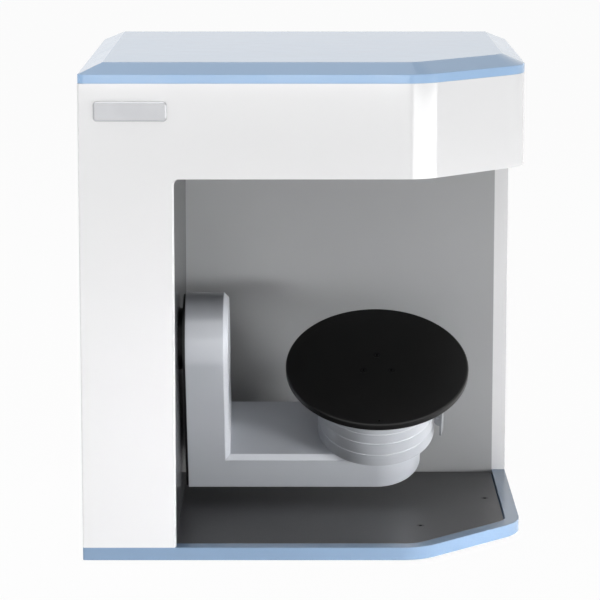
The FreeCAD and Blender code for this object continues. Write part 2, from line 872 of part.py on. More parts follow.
def swing_bearings():
    """Pair of bearings that carry the swing shaft."""
    one = bearing(swing_bearing_radius, shaft_radius + running_clearance, swing_bearing_width)
    return group([along_x(one, pivot + V(x, 0, 0)) for x in swing_bearing_places()])


def swing_motor_axis():
    """Point on the swing motor's axis, straight above the pivot."""
    return pivot + V(0, 0, swing_centres)


def motor_front():
    """Plane of the swing motor's mounting face, against its bracket."""
    return swing_gear_right + swing_gear_gap + bracket_plate


def motor_length():
    """Length of the swing motor between its bracket and the column frame."""
    return frame_left - swing_motor_back_gap - motor_front()


def swing_motor():
    """Geared motor with a turned front boss and a bore for its output shaft."""
    axis = swing_motor_axis()
    x0 = motor_front()
    body = rod(swing_motor_radius, axis + V(x0, 0, 0), axis + V(x0 + motor_length(), 0, 0))
    waist = ring(swing_motor_radius, swing_motor_radius - 0.8, 0, motor_length() * 0.12, V(0, 0, 0))
    body = body.cut(along_x(waist, axis + V(x0 + motor_length() * 0.55, 0, 0)))
    boss = rod(swing_motor_radius * 0.35, axis + V(x0 - bracket_plate, 0, 0), axis + V(x0, 0, 0))
    bore = rod(motor_shaft_radius * 2 + running_clearance, axis + V(x0 - bracket_plate, 0, 0),
               axis + V(x0 + motor_length() * 0.6, 0, 0))
    return body.fuse(boss).cut(bore)


def motor_bracket():
    """Folded hat bracket that holds the motor off the column frame."""
    axis = swing_motor_axis()
    x1 = motor_front()
    x0 = x1 - bracket_plate
    half = bracket_size / 2
    low = -swing_motor_radius
    face = box(x0, x1, axis.y - half, axis.y + half, axis.z + low, axis.z + half)
    pieces = [face]
    for side in (-1, 1):
        y0 = axis.y + side * half
        inner = y0 - side * bracket_wall
        outer = y0 + side * bracket_foot
        lo, hi = sorted((y0, inner))
        pieces.append(box(x0, frame_left, lo, hi, axis.z + low, axis.z + half))
        lo, hi = sorted((inner, outer))
        pieces.append(box(frame_left - bracket_wall, frame_left, lo, hi, axis.z + low, axis.z + half))
    bracket = pieces[0].fuse(pieces[1:]).removeSplitter()
    return bracket.cut(rod(swing_motor_radius * 0.35, axis + V(x0, 0, 0), axis + V(x1, 0, 0)))


def swing_pinion_shaft():
    """Motor output shaft with its pinion cut on the end; a gap faces the gear."""
    axis = swing_motor_axis()
    tooth = 270 + 180 / swing_pinion_teeth
    pinion = gear_blank(swing_pinion_teeth, swing_module, tooth, swing_gear_width)
    pinion = along_x(pinion, axis + V(swing_gear_left, 0, 0))
    shaft = rod(motor_shaft_radius * 2, axis + V(swing_gear_left, 0, 0),
                axis + V(motor_front() + motor_length() * 0.5, 0, 0))
    return pinion.fuse(shaft)


def swing_gear():
    """Large spur gear with a hub and lightening holes; a tooth faces the pinion at rest."""
    gear = gear_blank(swing_teeth, swing_module, 90 - arm_tilt, swing_gear_width)
    hub_length = swing_gear_width + 2.5
    gear = gear.fuse(Part.makeCylinder(swing_hub_radius, hub_length))
    cuts = [Part.makeCylinder(shaft_radius, hub_length)]
    middle = (swing_hub_radius + swing_pitch) / 2
    for i in range(6):
        turn = radians(60 * i)
        cuts.append(Part.makeCylinder((swing_pitch - swing_hub_radius) * 0.28, swing_gear_width,
                                      V(middle * cos(turn), middle * sin(turn), 0)))
    return on_arm(along_x(gear.cut(cuts), V(swing_gear_left, 0, 0)))


def swing_shaft():
    """Turned shaft with a flange against the arm's leg and an end seated in the leg."""
    end = swing_gear_left - 2.0
    body = rod(shaft_radius, V(end, 0, 0), V(leg_left + shaft_socket, 0, 0))
    flange = rod(shaft_flange_radius, V(bay_left - panel_thickness + 0.6, 0, 0), V(leg_left, 0, 0))
    return on_arm(body.fuse(flange))


# ---------------------------------------------------------------- swing arm
def leg_outline(x, inset):
    """Upright stadium outline of the arm's leg in the plane at x."""
    half = arm_half_depth - inset
    low = -arm_drop + inset
    corners = [V(x, -half, low), V(x, half, low), V(x, half, half), V(x, -half, half)]
    return rounded_wire(corners, [0, 0, half, half])


def foot_outline(z, inset, start):
    """Flat outline of the arm's foot, round at the turntable's end."""
    half = arm_half_depth - inset
    return rounded_wire(flat_corners(start, table_x + half, -half, half, z), [0, half, half, 0])


def swing_arm():
    """Cast L: leg round the pivot and foot under the turntable, with chamfered inner edges."""
    shoulder = leg_right - arm_edge_chamfer
    leg = Part.Face(leg_outline(leg_left, 0)).extrude(V(shoulder - leg_left, 0, 0))
    leg_edge = Part.makeLoft([leg_outline(shoulder, 0), leg_outline(leg_right, arm_edge_chamfer)],
                             True, True)
    crown = arm_foot_top - arm_edge_chamfer
    foot = Part.Face(foot_outline(-arm_drop, 0, leg_left)).extrude(V(0, 0, crown + arm_drop))
    foot_edge = Part.makeLoft([foot_outline(crown, 0, leg_left),
                               foot_outline(arm_foot_top, arm_edge_chamfer, leg_left)], True, True)
    arm = leg.fuse([leg_edge, foot, foot_edge]).removeSplitter()
    recess = Part.Face(foot_outline(-arm_drop, arm_cover_margin, leg_left + arm_cover_margin))
    recess = recess.extrude(V(0, 0, arm_cover_thickness))
    inset = arm_cover_margin + arm_pocket_margin
    pocket = Part.Face(foot_outline(-arm_drop, inset, leg_left + inset)).extrude(V(0, 0, arm_pocket_depth))
    ledges = [Part.makeCylinder(arm_pocket_margin, arm_pocket_depth, p) for p in arm_screw_places()]
    pocket = pocket.cut(ledges)
    socket = rod(shaft_radius, V(leg_left, 0, 0), V(leg_left + shaft_socket, 0, 0))
    holes = [flush_hole(p, V(0, 0, -1), cover_screw_length + 2.0) for p in arm_screw_places()]
    return on_arm(arm.cut([recess, pocket, socket] + holes))


def arm_liner():
    """Dark sheet bonded to the leg's back, cut out round the shaft's flange."""
    liner = Part.Face(leg_outline(leg_left - arm_liner_thickness, arm_liner_inset))
    liner = liner.extrude(V(arm_liner_thickness, 0, 0))
    hole = rod(shaft_flange_radius + seam, V(leg_left - arm_liner_thickness, 0, 0), V(leg_left, 0, 0))
    return on_arm(liner.cut(hole))


def arm_screw_places():
    """Six screws of the arm's underside cover."""
    inset = arm_cover_margin + arm_pocket_margin
    x0 = leg_left + inset
    x1 = table_x
    places = []
    for x in (x0, (x0 + x1) / 2, x1):
        for side in (-1, 1):
            places.append(V(x, side * (arm_half_depth - inset), -arm_drop))
    return places


def arm_cover():
    """Plate let into the arm's underside."""
    margin = arm_cover_margin + seam / 2
    cover = Part.Face(foot_outline(-arm_drop, margin, leg_left + margin))
    cover = cover.extrude(V(0, 0, arm_cover_thickness))
    holes = [flush_hole(p, V(0, 0, -1), cover_screw_length) for p in arm_screw_places()]
    return on_arm(cover.cut(holes))


def arm_cover_screws():
    """Flush screws of the arm's cover."""
    return on_arm(group([flush_screw(p, V(0, 0, -1), cover_screw_length) for p in arm_screw_places()]))


# ---------------------------------------------------------------- turntable
def at_table(z):
    """Point on the turntable's axis, in the arm's frame."""
    return V(table_x, 0, z)


def lever_frame(shape):
    """Shape built as (outwards, sideways, up) beside the drum, turned to the lever's place."""
    return shape.rotated(V(0, 0, 0), Z_AXIS, lever_angle).translated(at_table(arm_foot_top))


def lever_axle():
    """Distance of the lever's pin from the drum's axis, and its height above the drum's foot."""
    return drum_radius + lever_stand_off + lever_thickness * 0.45, lever_block_top - lever_pin_drop


def lever_lug():
    """Lug on the drum that carries the lever's pin, with a nose round about the pin."""
    out, z = lever_axle()
    half = lug_thickness / 2
    root = box(drum_radius - drum_wall * 0.8, out, -half, half, z - lug_nose_radius, z + lug_nose_radius)
    nose = rod(lug_nose_radius, V(out, -half, z), V(out, half, z))
    bore = rod(lever_pin_radius, V(out, -half, z), V(out, half, z))
    return lever_frame(root.fuse(nose).cut(bore))


def lever_pin():
    """Pin pressed into the lug, with the release lever's cheeks on its ends."""
    out, z = lever_axle()
    half = lever_width / 2 - lever_pin_recess
    return on_arm(lever_frame(rod(lever_pin_radius, V(out, -half, z), V(out, half, z))))


def release_lever():
    """Small spring-loaded lever: a block slotted over the lug and a thin tail to press."""
    r0 = drum_radius + lever_stand_off
    r1 = r0 + lever_thickness
    z1 = lever_block_top
    z0 = z1 - lever_block_height
    half = lever_width / 2
    nick = lever_thickness * 0.4
    corners = [V(r0 + nick, -half, z0), V(r1 - lever_tail_thickness, -half, z0),
               V(r1 - lever_tail_thickness, -half, z0 - lever_tail_length),
               V(r1, -half, z0 - lever_tail_length), V(r1, -half, z1), V(r0, -half, z1),
               V(r0, -half, z0 + nick)]
    radii = [0, 0.6, 0.4, 0.4, 1.2, 0.6, 0]
    lever = prism(corners, radii, V(0, lever_width, 0))
    out, z = lever_axle()
    bore = rod(lever_pin_radius + running_clearance, V(out, -half, z), V(out, half, z))
    side = lug_thickness / 2 + lug_gap
    slot = box(r0, r1 - lever_face_thickness, -side, side, z - lug_slot_half_height,
               z + lug_slot_half_height)
    return on_arm(lever_frame(lever.cut([bore, slot])))


def turntable_housing():
    """Drum cup on the arm's foot, with ring grooves, a bearing boss and the lever's lug."""
    h = drum_height
    floor = drum_floor
    boss = foot_bearing_radius + 2.5
    boss_top = floor + foot_bearing_width + 1.0
    inner = drum_radius - drum_wall
    ledge = inner - cap_ledge
    under_cap = h - drum_cap
    profile = [(0, 0), (drum_radius, 0)]
    for height in drum_ring_heights:
        profile += [(drum_radius, height - drum_groove), (drum_radius - drum_groove, height),
                    (drum_radius, height + drum_groove)]
    profile += [(drum_radius, h), (inner, h), (inner, under_cap), (ledge, under_cap),
                (inner, under_cap - cap_ledge * 1.5), (inner, floor), (boss, floor), (boss, boss_top),
                (foot_bearing_radius, boss_top), (foot_bearing_radius, boss_top - foot_bearing_width),
                (0, boss_top - foot_bearing_width)]
    drum = revolve(profile, at_table(arm_foot_top))
    return on_arm(drum.fuse(lever_lug()))


def cap_levels():
    """Heights of the cap's underside, bearing seat and flange recess, in the arm's frame."""
    recess_floor = drum_top - (spindle_flange_thickness - plate_gap) - 0.6
    seat = recess_floor - top_bearing_width
    return recess_floor, seat


def turntable_cap():
    """Disc that closes the drum and holds the spindle's upper bearing."""
    recess_floor, seat = cap_levels()
    edge = drum_radius - drum_wall - seam / 2
    boss = top_bearing_radius + 3.0
    lip = top_bearing_radius - 2.0
    low = seat - 2.0
    profile = [(lip, low), (boss, low), (boss, drum_top - drum_cap), (edge, drum_top - drum_cap),
               (edge, drum_top), (spindle_flange_radius + 1.0, drum_top),
               (spindle_flange_radius + 1.0, recess_floor), (top_bearing_radius, recess_floor),
               (top_bearing_radius, seat), (lip, seat)]
    return on_arm(revolve(profile, at_table(0)))


def turntable_bearings():
    """Upper and lower bearing of the spindle."""
    seat = cap_levels()[1]
    upper = bearing(top_bearing_radius, spindle_radius + running_clearance, top_bearing_width)
    lower = bearing(foot_bearing_radius, spindle_radius + running_clearance, foot_bearing_width)
    foot_seat = arm_foot_top + drum_floor + 1.0
    return on_arm(group([upper.translated(at_table(seat)), lower.translated(at_table(foot_seat))]))


def spindle():
    """Turned spindle with the flange that carries the plate."""
    foot = arm_foot_top + drum_floor + 1.0 + seam
    flange_bottom = plate_bottom - spindle_flange_thickness
    body = rod(spindle_radius, at_table(foot), at_table(plate_bottom))
    flange = rod(spindle_flange_radius, at_table(flange_bottom), at_table(plate_bottom))
    holes = [flush_hole(p, Z_AXIS, screw_depth()) for p in plate_screw_places()]
    return on_arm(body.fuse(flange).cut(holes))


def screw_depth():
    """Length of the plate's screws."""
    return plate_thickness + spindle_flange_thickness * 0.8


def plate_screw_places():
    """Three screws round the plate's centre."""
    arm = V(plate_screw_circle, 0, 0)
    return [at_table(plate_top) + FreeCAD.Rotation(Z_AXIS, turn).multVec(arm) for turn in (90, 210, 330)]


def scan_plate():
    """Black disc with chamfered edges, three countersunk holes and an index dot at the front."""
    edge = plate_edge_chamfer
    radius = plate_radius
    profile = [(0, 0), (radius - edge, 0), (radius, edge), (radius, plate_thickness - edge),
               (radius - edge, plate_thickness), (0, plate_thickness)]
    plate = revolve(profile, at_table(plate_bottom))
    dot = at_table(plate_top) + V(0, -(plate_radius - index_from_edge), 0)
    cuts = [Part.makeCylinder(index_radius, index_depth, dot - V(0, 0, index_depth))]
    cuts += [flush_hole(p, Z_AXIS, screw_depth()) for p in plate_screw_places()]
    return on_arm(plate.cut(cuts))


def plate_screws():
    """Flush screws that hold the plate to the spindle."""
    return on_arm(group([flush_screw(p, Z_AXIS, screw_depth()) for p in plate_screw_places()]))


def spindle_gear():
    """Spur gear on the spindle; a tooth faces the pinion at rest."""
    bottom = arm_foot_top + drum_floor + spin_gear_lift
    gear = gear_blank(spin_teeth, spin_module, spin_motor_angle, spin_gear_width)
    hub = Part.makeCylinder(spindle_radius * 2, spin_gear_width + 3.0)
    gear = gear.fuse(hub).cut(Part.makeCylinder(spindle_radius, spin_gear_width + 3.0))
    return on_arm(gear.translated(at_table(bottom)))


def spin_motor_axis(z):
    """Point on the turntable motor's axis, in the arm's frame."""
    turn = radians(spin_motor_angle)
    return at_table(z) + V(spin_centres * cos(turn), spin_centres * sin(turn), 0)


def turntable_pinion_shaft():
    """Turntable motor's shaft with its pinion; a gap faces the gear."""
    bottom = arm_foot_top + drum_floor + spin_gear_lift
    tooth = spin_motor_angle + 180 + 180 / spin_pinion_teeth
    pinion = gear_blank(spin_pinion_teeth, spin_module, tooth, spin_gear_width)
    pinion = pinion.translated(spin_motor_axis(bottom))
    start = arm_foot_top + drum_floor + spin_motor_length * 0.5
    shaft = rod(motor_shaft_radius, spin_motor_axis(start), spin_motor_axis(bottom))
    return on_arm(pinion.fuse(shaft))


def turntable_motor():
    """Small geared motor on the drum's floor."""
    foot = arm_foot_top + drum_floor
    body = rod(spin_motor_radius, spin_motor_axis(foot), spin_motor_axis(foot + spin_motor_length * 0.8))
    neck = rod(spin_motor_radius * 0.6, spin_motor_axis(foot), spin_motor_axis(foot + spin_motor_length))
    bore = rod(motor_shaft_radius + running_clearance, spin_motor_axis(foot + spin_motor_length * 0.4),
               spin_motor_axis(foot + spin_motor_length))
    return on_arm(body.fuse(neck).cut(bore))


# ---------------------------------------------------------------- optics in the head
def optics_middle():
    """Middle of the optics plate's underside, on the viewing axis."""
    rise = optics_height + panel_thickness
    return window_middle() + V(0, -rise * tan(radians(optics_tilt)), rise)


def optics_half_width():
    """Half the optics plate's width: its supports keep clear of the shell's side and chamfer."""
    front_edge = optics_middle().y - optics_plate_depth / 2 * cos(radians(optics_tilt))
    side_room = right - wall - table_x
    chamfer_room = right - chamfer_setback + front_edge - front - wall / sin(pi / 4) - table_x
    return min(side_room, chamfer_room) - optics_clearance


def camera_spread():
    """Each camera's distance from the projector's axis."""
    return optics_half_width() - support_width - camera_gap - camera_size / 2


def on_optics(shape):
    """Shape built square to the viewing axis, moved to the optics plate."""
    return shape.rotated(V(0, 0, 0), X_AXIS, optics_tilt).translated(optics_middle())


def camera_turn():
    """Degrees by which each camera leans in to look at the plate."""
    target = on_arm(Part.Vertex(at_table(plate_top))).Point
    return degrees(atan2(camera_spread(), (optics_middle() - target).Length))


def turned_camera(shape, side):
    """Shape built about a camera's own axis, leaned in and moved to its side."""
    leaned = shape.rotated(V(0, 0, 0), Y_AXIS, side * camera_turn())
    return leaned.translated(V(side * camera_spread(), 0, 0))


def camera_barrel(radius, side):
    """Cylinder along a camera's axis, long enough to cut or to fill its lens."""
    return turned_camera(rod(radius, V(0, 0, -camera_lens_length), V(0, 0, camera_height * 0.4)), side)


def optics_plate():
    """Aluminium plate square to the viewing axis, bored for projector and cameras."""
    half_w = optics_half_width()
    half_d = optics_plate_depth / 2
    plate = box(-half_w, half_w, -half_d, half_d, 0, optics_plate_thickness)
    cuts = [rod(projector_lens_radius + seam, V(0, 0, 0), V(0, 0, optics_plate_thickness))]
    cuts += [camera_barrel(camera_lens_radius + 1.0, side) for side in (-1, 1)]
    return on_optics(plate.cut(cuts))


def optics_supports():
    """Two wedge brackets that stand on the ceiling and carry the optics plate."""
    wedges = []
    half_d = optics_plate_depth / 2
    middle = optics_middle()
    lean = radians(optics_tilt)
    y0 = middle.y - half_d * cos(lean)
    y1 = middle.y + half_d * cos(lean)
    z0 = middle.z - half_d * sin(lean)
    z1 = middle.z + half_d * sin(lean)
    for side in (-1, 1):
        x = middle.x + side * (optics_half_width() - support_width / 2) - support_width / 2
        corners = [V(x, y0, ceiling_top), V(x, y1, ceiling_top), V(x, y1, z1), V(x, y0, z0)]
        wedge = prism(corners, [0, 0, 0, 0], V(support_width, 0, 0))
        wedges.append(wedge)
    return group(wedges)


def projector():
    """Light projector standing on the optics plate."""
    half_w = camera_spread() - camera_size / 2 - projector_gap
    half_d = projector_depth / 2
    z0 = optics_plate_thickness
    z1 = z0 + projector_height
    corners = flat_corners(-half_w, half_w, -half_d, half_d, z0)
    body = prism(corners, [projector_corner] * 4, V(0, 0, projector_height))
    fins = []
    fin_count = int(projector_depth / fin_pitch) - 1
    for i in range(fin_count):
        y = -half_d + fin_pitch * (i + 0.75)
        fins.append(box(-half_w, half_w, y, y + fin_pitch / 2, z1 - fin_height, z1))
    bore = rod(projector_lens_radius, V(0, 0, z0), V(0, 0, z0 + projector_height * 0.3))
    return on_optics(body.cut(fins + [bore]))


def lens_barrel(radius, z0, z1):
    """Lens tube about +Z with a dished front glass at z0."""
    inner = radius * 0.78
    dish = (z1 - z0) * 0.18
    profile = [(0, z0 + dish * 1.5), (inner * 0.6, z0 + dish * 1.9), (inner, z0 + dish * 2.6),
               (inner, z0), (radius, z0), (radius, z1), (0, z1)]
    return revolve(profile, V(0, 0, 0))


def projector_lens():
    """Projector's lens tube, down through the optics plate."""
    return on_optics(lens_barrel(projector_lens_radius, -projector_lens_length,
                                 optics_plate_thickness + projector_height * 0.3))


def camera_body(side):
    """Camera block cut flush with the optics plate, bored for its lens."""
    half = camera_size / 2
    block = turned_camera(box(-half, half, -half, half, -half, camera_height), side)
    reach = camera_spread() + 2 * camera_size
    above = box(-reach, reach, -camera_size, camera_size, optics_plate_thickness, camera_height * 2)
    return on_optics(block.common(above).cut(camera_barrel(camera_lens_radius, side)))


def camera_lens(side):
    """Camera's lens tube."""
    barrel = lens_barrel(camera_lens_radius, -camera_lens_length, camera_height * 0.4)
    return on_optics(turned_camera(barrel, side))


# ---------------------------------------------------------------- electrics
def board_front():
    """Plane of the main board's front face, behind the bay's back wall."""
    return bay_back + panel_thickness + standoff_height


def board_corner():
    """Lower left corner of the main board."""
    return V(bay_left + board_from_left, board_front(), base_top + board_from_base)


def board_hole_places():
    """Four fixing holes of the main board."""
    corner = board_corner()
    inset = board_hole_inset
    return [V(corner.x + dx, board_front(), corner.z + dz)
            for dx in (inset, board_width - inset) for dz in (inset, board_height - inset)]


def main_board():
    """Circuit board with its chips, heat sink, connectors and row of capacitors on the rear side."""
    c = board_corner()
    face = c.y + board_thickness
    board = box(c.x, c.x + board_width, c.y, face, c.z, c.z + board_height)
    layout = [(0.13, 0.33, 0.33, 0.58, chip_height), (0.41, 0.59, 0.25, 0.47, chip_height),
              (0.67, 0.79, 0.53, 0.68, chip_height), (0.67, 0.84, 0.17, 0.33, chip_height),
              (0.09, 0.40, 0.87, 0.95, connector_height), (0.48, 0.73, 0.87, 0.95, connector_height),
              (0.89, 0.96, 0.20, 0.75, connector_height), (0.11, 0.29, 0.08, 0.20, connector_height)]
    parts = []
    for x0, x1, z0, z1, tall in layout:
        parts.append(box(c.x + board_width * x0, c.x + board_width * x1, face, face + tall,
                         c.z + board_height * z0, c.z + board_height * z1))
    z = c.z + board_height * 0.75
    for i in range(capacitor_count):
        x = c.x + board_width * 0.4 + capacitor_pitch * i
        parts.append(rod(capacitor_radius, V(x, face, z), V(x, face + connector_height, z)))
    holes = [rod(small_screw_radius + screw_clearance, p, p + V(0, board_thickness, 0))
             for p in board_hole_places()]
    return board.fuse(parts).cut(holes)


def board_standoffs():
    """Four hexagonal standoffs between the bay's back wall and the board, each with its stud."""
    posts = []
    for p in board_hole_places():
        post = hexagon(3.2, standoff_height, p, Y_AXIS)
        stud = rod(small_screw_radius, p, p + V(0, board_thickness + 2.0, 0))
        posts.append(post.fuse(stud))
    return group(posts)


def power_supply():
    """Ventilated metal case on the base, at the back of the column."""
    x0 = left + wall + 6.0
    y1 = supply_rear()
    y0 = y1 - supply_depth
    z0 = base_top
    case = box(x0, x0 + supply_width, y0, y1, z0, z0 + supply_height)
    inside = box(x0 + supply_wall, x0 + supply_width - supply_wall, y0 + supply_wall, y1 - supply_wall,
                 z0 + supply_wall, z0 + supply_height - supply_wall)
    slots = []
    slot_count = int(supply_depth / supply_slot_pitch) - 2
    for i in range(slot_count):
        y = y0 + supply_slot_pitch * (i + 1.2)
        slots.append(box(x0 + supply_width * 0.2, x0 + supply_width * 0.8, y, y + supply_slot_pitch * 0.4,
                         z0 + supply_height - supply_wall, z0 + supply_height))
    return case.cut([inside] + slots)


def fan_frame():
    """Square fan frame with a round duct, a hub plate on three arms and the rotor's pin."""
    c = fan_centre()
    half = fan_size / 2
    y0 = c.y - fan_depth
    y1 = y0 + fan_arm_thickness
    corners = upright_corners(c.x - half, c.x + half, y0, c.z - half, c.z + half)
    frame = prism(corners, [fan_corner] * 4, V(0, fan_depth, 0))
    duct = half - fan_duct_wall
    frame = frame.cut(rod(duct, V(c.x, y0, c.z), V(c.x, c.y, c.z)))
    arms = [rod(fan_hub_radius(), V(c.x, y0, c.z), V(c.x, y1, c.z))]
    for turn in (90, 210, 330):
        arm = box(0, duct + fan_duct_wall / 2, y0, y1, -fan_arm_width / 2, fan_arm_width / 2)
        arms.append(arm.rotated(V(0, 0, 0), Y_AXIS, turn).translated(V(c.x, 0, c.z)))
    pin = rod(motor_shaft_radius, V(c.x, y0, c.z), V(c.x, fan_pin_end(), c.z))
    return frame.fuse(arms + [pin])


def fan_hub_radius():
    """Radius of the fan's hub."""
    return fan_size * 0.2


def fan_pin_end():
    """Depth at which the rotor's pin ends, inside the hub."""
    return cover_inside - fan_arm_thickness


def fan_rotor():
    """Fan rotor: hub cap on the frame's pin, with pitched blades."""
    c = fan_centre()
    hub = fan_hub_radius()
    y0 = c.y - fan_depth + fan_arm_thickness + seam
    y1 = c.y - fan_tip_gap
    tip = fan_size / 2 - fan_duct_wall - fan_tip_gap
    half_t = fan_blade_thickness / 2
    half_c = fan_blade_chord / 2
    half_w = (y1 - y0) / 2
    blades = []
    for i in range(fan_blades):
        blade = box(hub * 0.8, tip - fan_tip_gap / 2, -half_t, half_t, -half_c, half_c)
        blade = blade.rotated(V(0, 0, 0), X_AXIS, fan_blade_pitch)
        blade = blade.common(box(0, tip, -half_w, half_w, -tip, tip)).translated(V(0, (y0 + y1) / 2, 0))
        blades.append(blade.rotated(V(0, 0, 0), Y_AXIS, 360.0 * i / fan_blades))
    rotor = rod(hub, V(0, y0, 0), V(0, y1, 0)).fuse(blades)
    bore = rod(motor_shaft_radius + running_clearance, V(0, y0, 0), V(0, fan_pin_end() + seam, 0))
    return rotor.cut(bore).translated(V(c.x, 0, c.z))


def power_inlet():
    """Mains inlet: flanged cup with three flat pins."""
    c = inlet_centre()
    half_w = inlet_width / 2
    half_h = inlet_height / 2
    cup = box(c.x - half_w, c.x + half_w, rear - inlet_depth, rear, c.z - half_h, c.z + half_h)
    w = half_w + inlet_flange
    h = half_h + inlet_flange
    corners = upright_corners(c.x - w, c.x + w, rear, c.z - h, c.z + h)
    flange = prism(corners, [3.0] * 4, V(0, inlet_flange_thickness, 0))
    cut_w = half_w - inlet_wall
    cut_h = half_h - inlet_wall
    floor_y = rear - inlet_depth + inlet_wall
    slope = cut_h * 0.5
    outline = [(-cut_w, -cut_h), (cut_w, -cut_h), (cut_w, cut_h - slope), (cut_w - slope, cut_h),
               (slope - cut_w, cut_h), (-cut_w, cut_h - slope)]
    corners = [V(c.x + dx, floor_y, c.z + dz) for dx, dz in outline]
    cavity = prism(corners, [0.6] * 6, V(0, inlet_depth + inlet_flange_thickness, 0))
    pins = []
    spread = inlet_pin_spread
    for dx, dz in ((-spread, -inlet_pin_offset), (spread, -inlet_pin_offset), (0.0, inlet_pin_offset)):
        pins.append(box(c.x + dx - inlet_pin_width / 2, c.x + dx + inlet_pin_width / 2,
                        floor_y - inlet_wall / 2, floor_y + inlet_pin_length,
                        c.z + dz - inlet_pin_height / 2, c.z + dz + inlet_pin_height / 2))
    return cup.fuse(flange).cut(cavity).fuse(pins)


def switch_frame():
    """Frame of the rocker switch, with pins for the rocker."""
    c = switch_centre()
    half_w = switch_width / 2
    half_h = switch_height / 2
    body = box(c.x - half_w, c.x + half_w, rear - switch_depth, rear, c.z - half_h, c.z + half_h)
    lip = box(c.x - half_w - switch_rim, c.x + half_w + switch_rim, rear, rear + switch_rim,
              c.z - half_h - switch_rim, c.z + half_h + switch_rim)
    cut_w = half_w - switch_rim
    cut_h = half_h - switch_rim
    cavity = box(c.x - cut_w, c.x + cut_w, rear - switch_depth + switch_rim, rear + switch_rim,
                 c.z - cut_h, c.z + cut_h)
    axle = rod(rocker_axle_radius, V(c.x - cut_w - switch_rim / 2, rocker_y(), c.z),
               V(c.x + cut_w + switch_rim / 2, rocker_y(), c.z))
    return body.fuse(lip).cut(cavity).fuse(axle)


def rocker_y():
    """Depth of the rocker's axle."""
    return rear - rocker_axle_depth


def power_switch():
    """Rocker of the mains switch, resting tipped to its off side."""
    c = switch_centre()
    half_w = switch_width / 2 - switch_rim - rocker_clearance
    half_h = switch_height / 2 - switch_rim - rocker_clearance - 0.4
    x0 = c.x - half_w
    nose = rocker_y() + rocker_nose
    heel = rocker_y() - rocker_heel
    corners = [V(x0, heel, c.z - half_h * 0.7), V(x0, nose, c.z - half_h), V(x0, nose - rocker_dish, c.z),
               V(x0, nose, c.z + half_h), V(x0, heel, c.z + half_h * 0.7)]
    rocker = prism(corners, [0.6, 0.5, 14.0, 0.5, 0.6], V(2 * half_w, 0, 0))
    bore = rod(rocker_axle_radius + running_clearance, V(x0, rocker_y(), c.z),
               V(x0 + 2 * half_w, rocker_y(), c.z))
    return rocker.cut(bore).rotated(V(c.x, rocker_y(), c.z), X_AXIS, rocker_tilt)


def data_socket():
    """Modular data socket with its contacts along the upper side."""
    c = socket_centre()
    half_w = socket_width / 2
    half_h = socket_height / 2
    body = box(c.x - half_w, c.x + half_w, rear - socket_depth, rear, c.z - half_h, c.z + half_h)
    cut_w = socket_cavity_width / 2
    cut_h = socket_cavity_height / 2
    floor_y = rear - socket_depth + socket_floor
    cavity = box(c.x - cut_w, c.x + cut_w, floor_y, rear, c.z - cut_h, c.z + cut_h)
    notch = box(c.x - cut_w / 2, c.x + cut_w / 2, floor_y, rear,
                c.z - half_h + socket_notch_wall, c.z - cut_h)
    contacts = []
    for i in range(contact_count):
        x = c.x + contact_pitch * (i - (contact_count - 1) / 2)
        contacts.append(box(x - contact_width / 2, x + contact_width / 2,
                            floor_y - contact_width, rear - socket_floor,
                            c.z + cut_h - contact_width * 2, c.z + cut_h + contact_width / 2))
    return body.cut([cavity, notch]).fuse(contacts)


# ---------------------------------------------------------------- all nodes
NODES = {
    "base_tray": base_tray,
    "rubber_feet": rubber_feet,
    "floor_panel": floor_panel,
    "floor_screws": floor_screws,
    "body_shell": body_shell,
    "rear_cover": rear_cover,
    "rear_cover_screws": rear_cover_screws,
    "top_cover": top_cover,
    "bay_left_wall": bay_left_wall,
    "bay_back_wall": bay_back_wall,
    "bay_ceiling": bay_ceiling,
    "scan_window": scan_window,
    "badge_plate": badge_plate,
    "column_frame": column_frame,
    "frame_screws": frame_screws,
    "bearing_block": bearing_block,
    "swing_bearings": swing_bearings,
    "swing_motor": swing_motor,
    "motor_bracket": motor_bracket,
    "swing_pinion_shaft": swing_pinion_shaft,
    "swing_gear": swing_gear,
    "swing_shaft": swing_shaft,
    "swing_arm": swing_arm,
    "arm_liner": arm_liner,
    "arm_cover": arm_cover,
    "arm_cover_screws": arm_cover_screws,
    "turntable_housing": turntable_housing,
    "turntable_cap": turntable_cap,
    "turntable_bearings": turntable_bearings,
    "turntable_motor": turntable_motor,
    "turntable_pinion_shaft": turntable_pinion_shaft,
    "spindle": spindle,
    "spindle_gear": spindle_gear,
    "scan_plate": scan_plate,
    "plate_screws": plate_screws,
    "lever_pin": lever_pin,
    "release_lever": release_lever,
    "optics_plate": optics_plate,
    "optics_supports": optics_supports,
    "projector": projector,
    "projector_lens": projector_lens,
    "left_camera": lambda: camera_body(-1),
    "right_camera": lambda: camera_body(1),
    "left_camera_lens": lambda: camera_lens(-1),
    "right_camera_lens": lambda: camera_lens(1),
    "main_board": main_board,
    "board_standoffs": board_standoffs,
    "power_supply": power_supply,
    "fan_frame": fan_frame,
    "fan_rotor": fan_rotor,
    "power_inlet": power_inlet,
    "switch_frame": switch_frame,
    "power_switch": power_switch,
    "data_socket": data_socket,
}

os.makedirs("parts", exist_ok=True)
for node, make in NODES.items():
    save(node, make())
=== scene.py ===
import json
from math import atan2, cos, pi, radians, sin

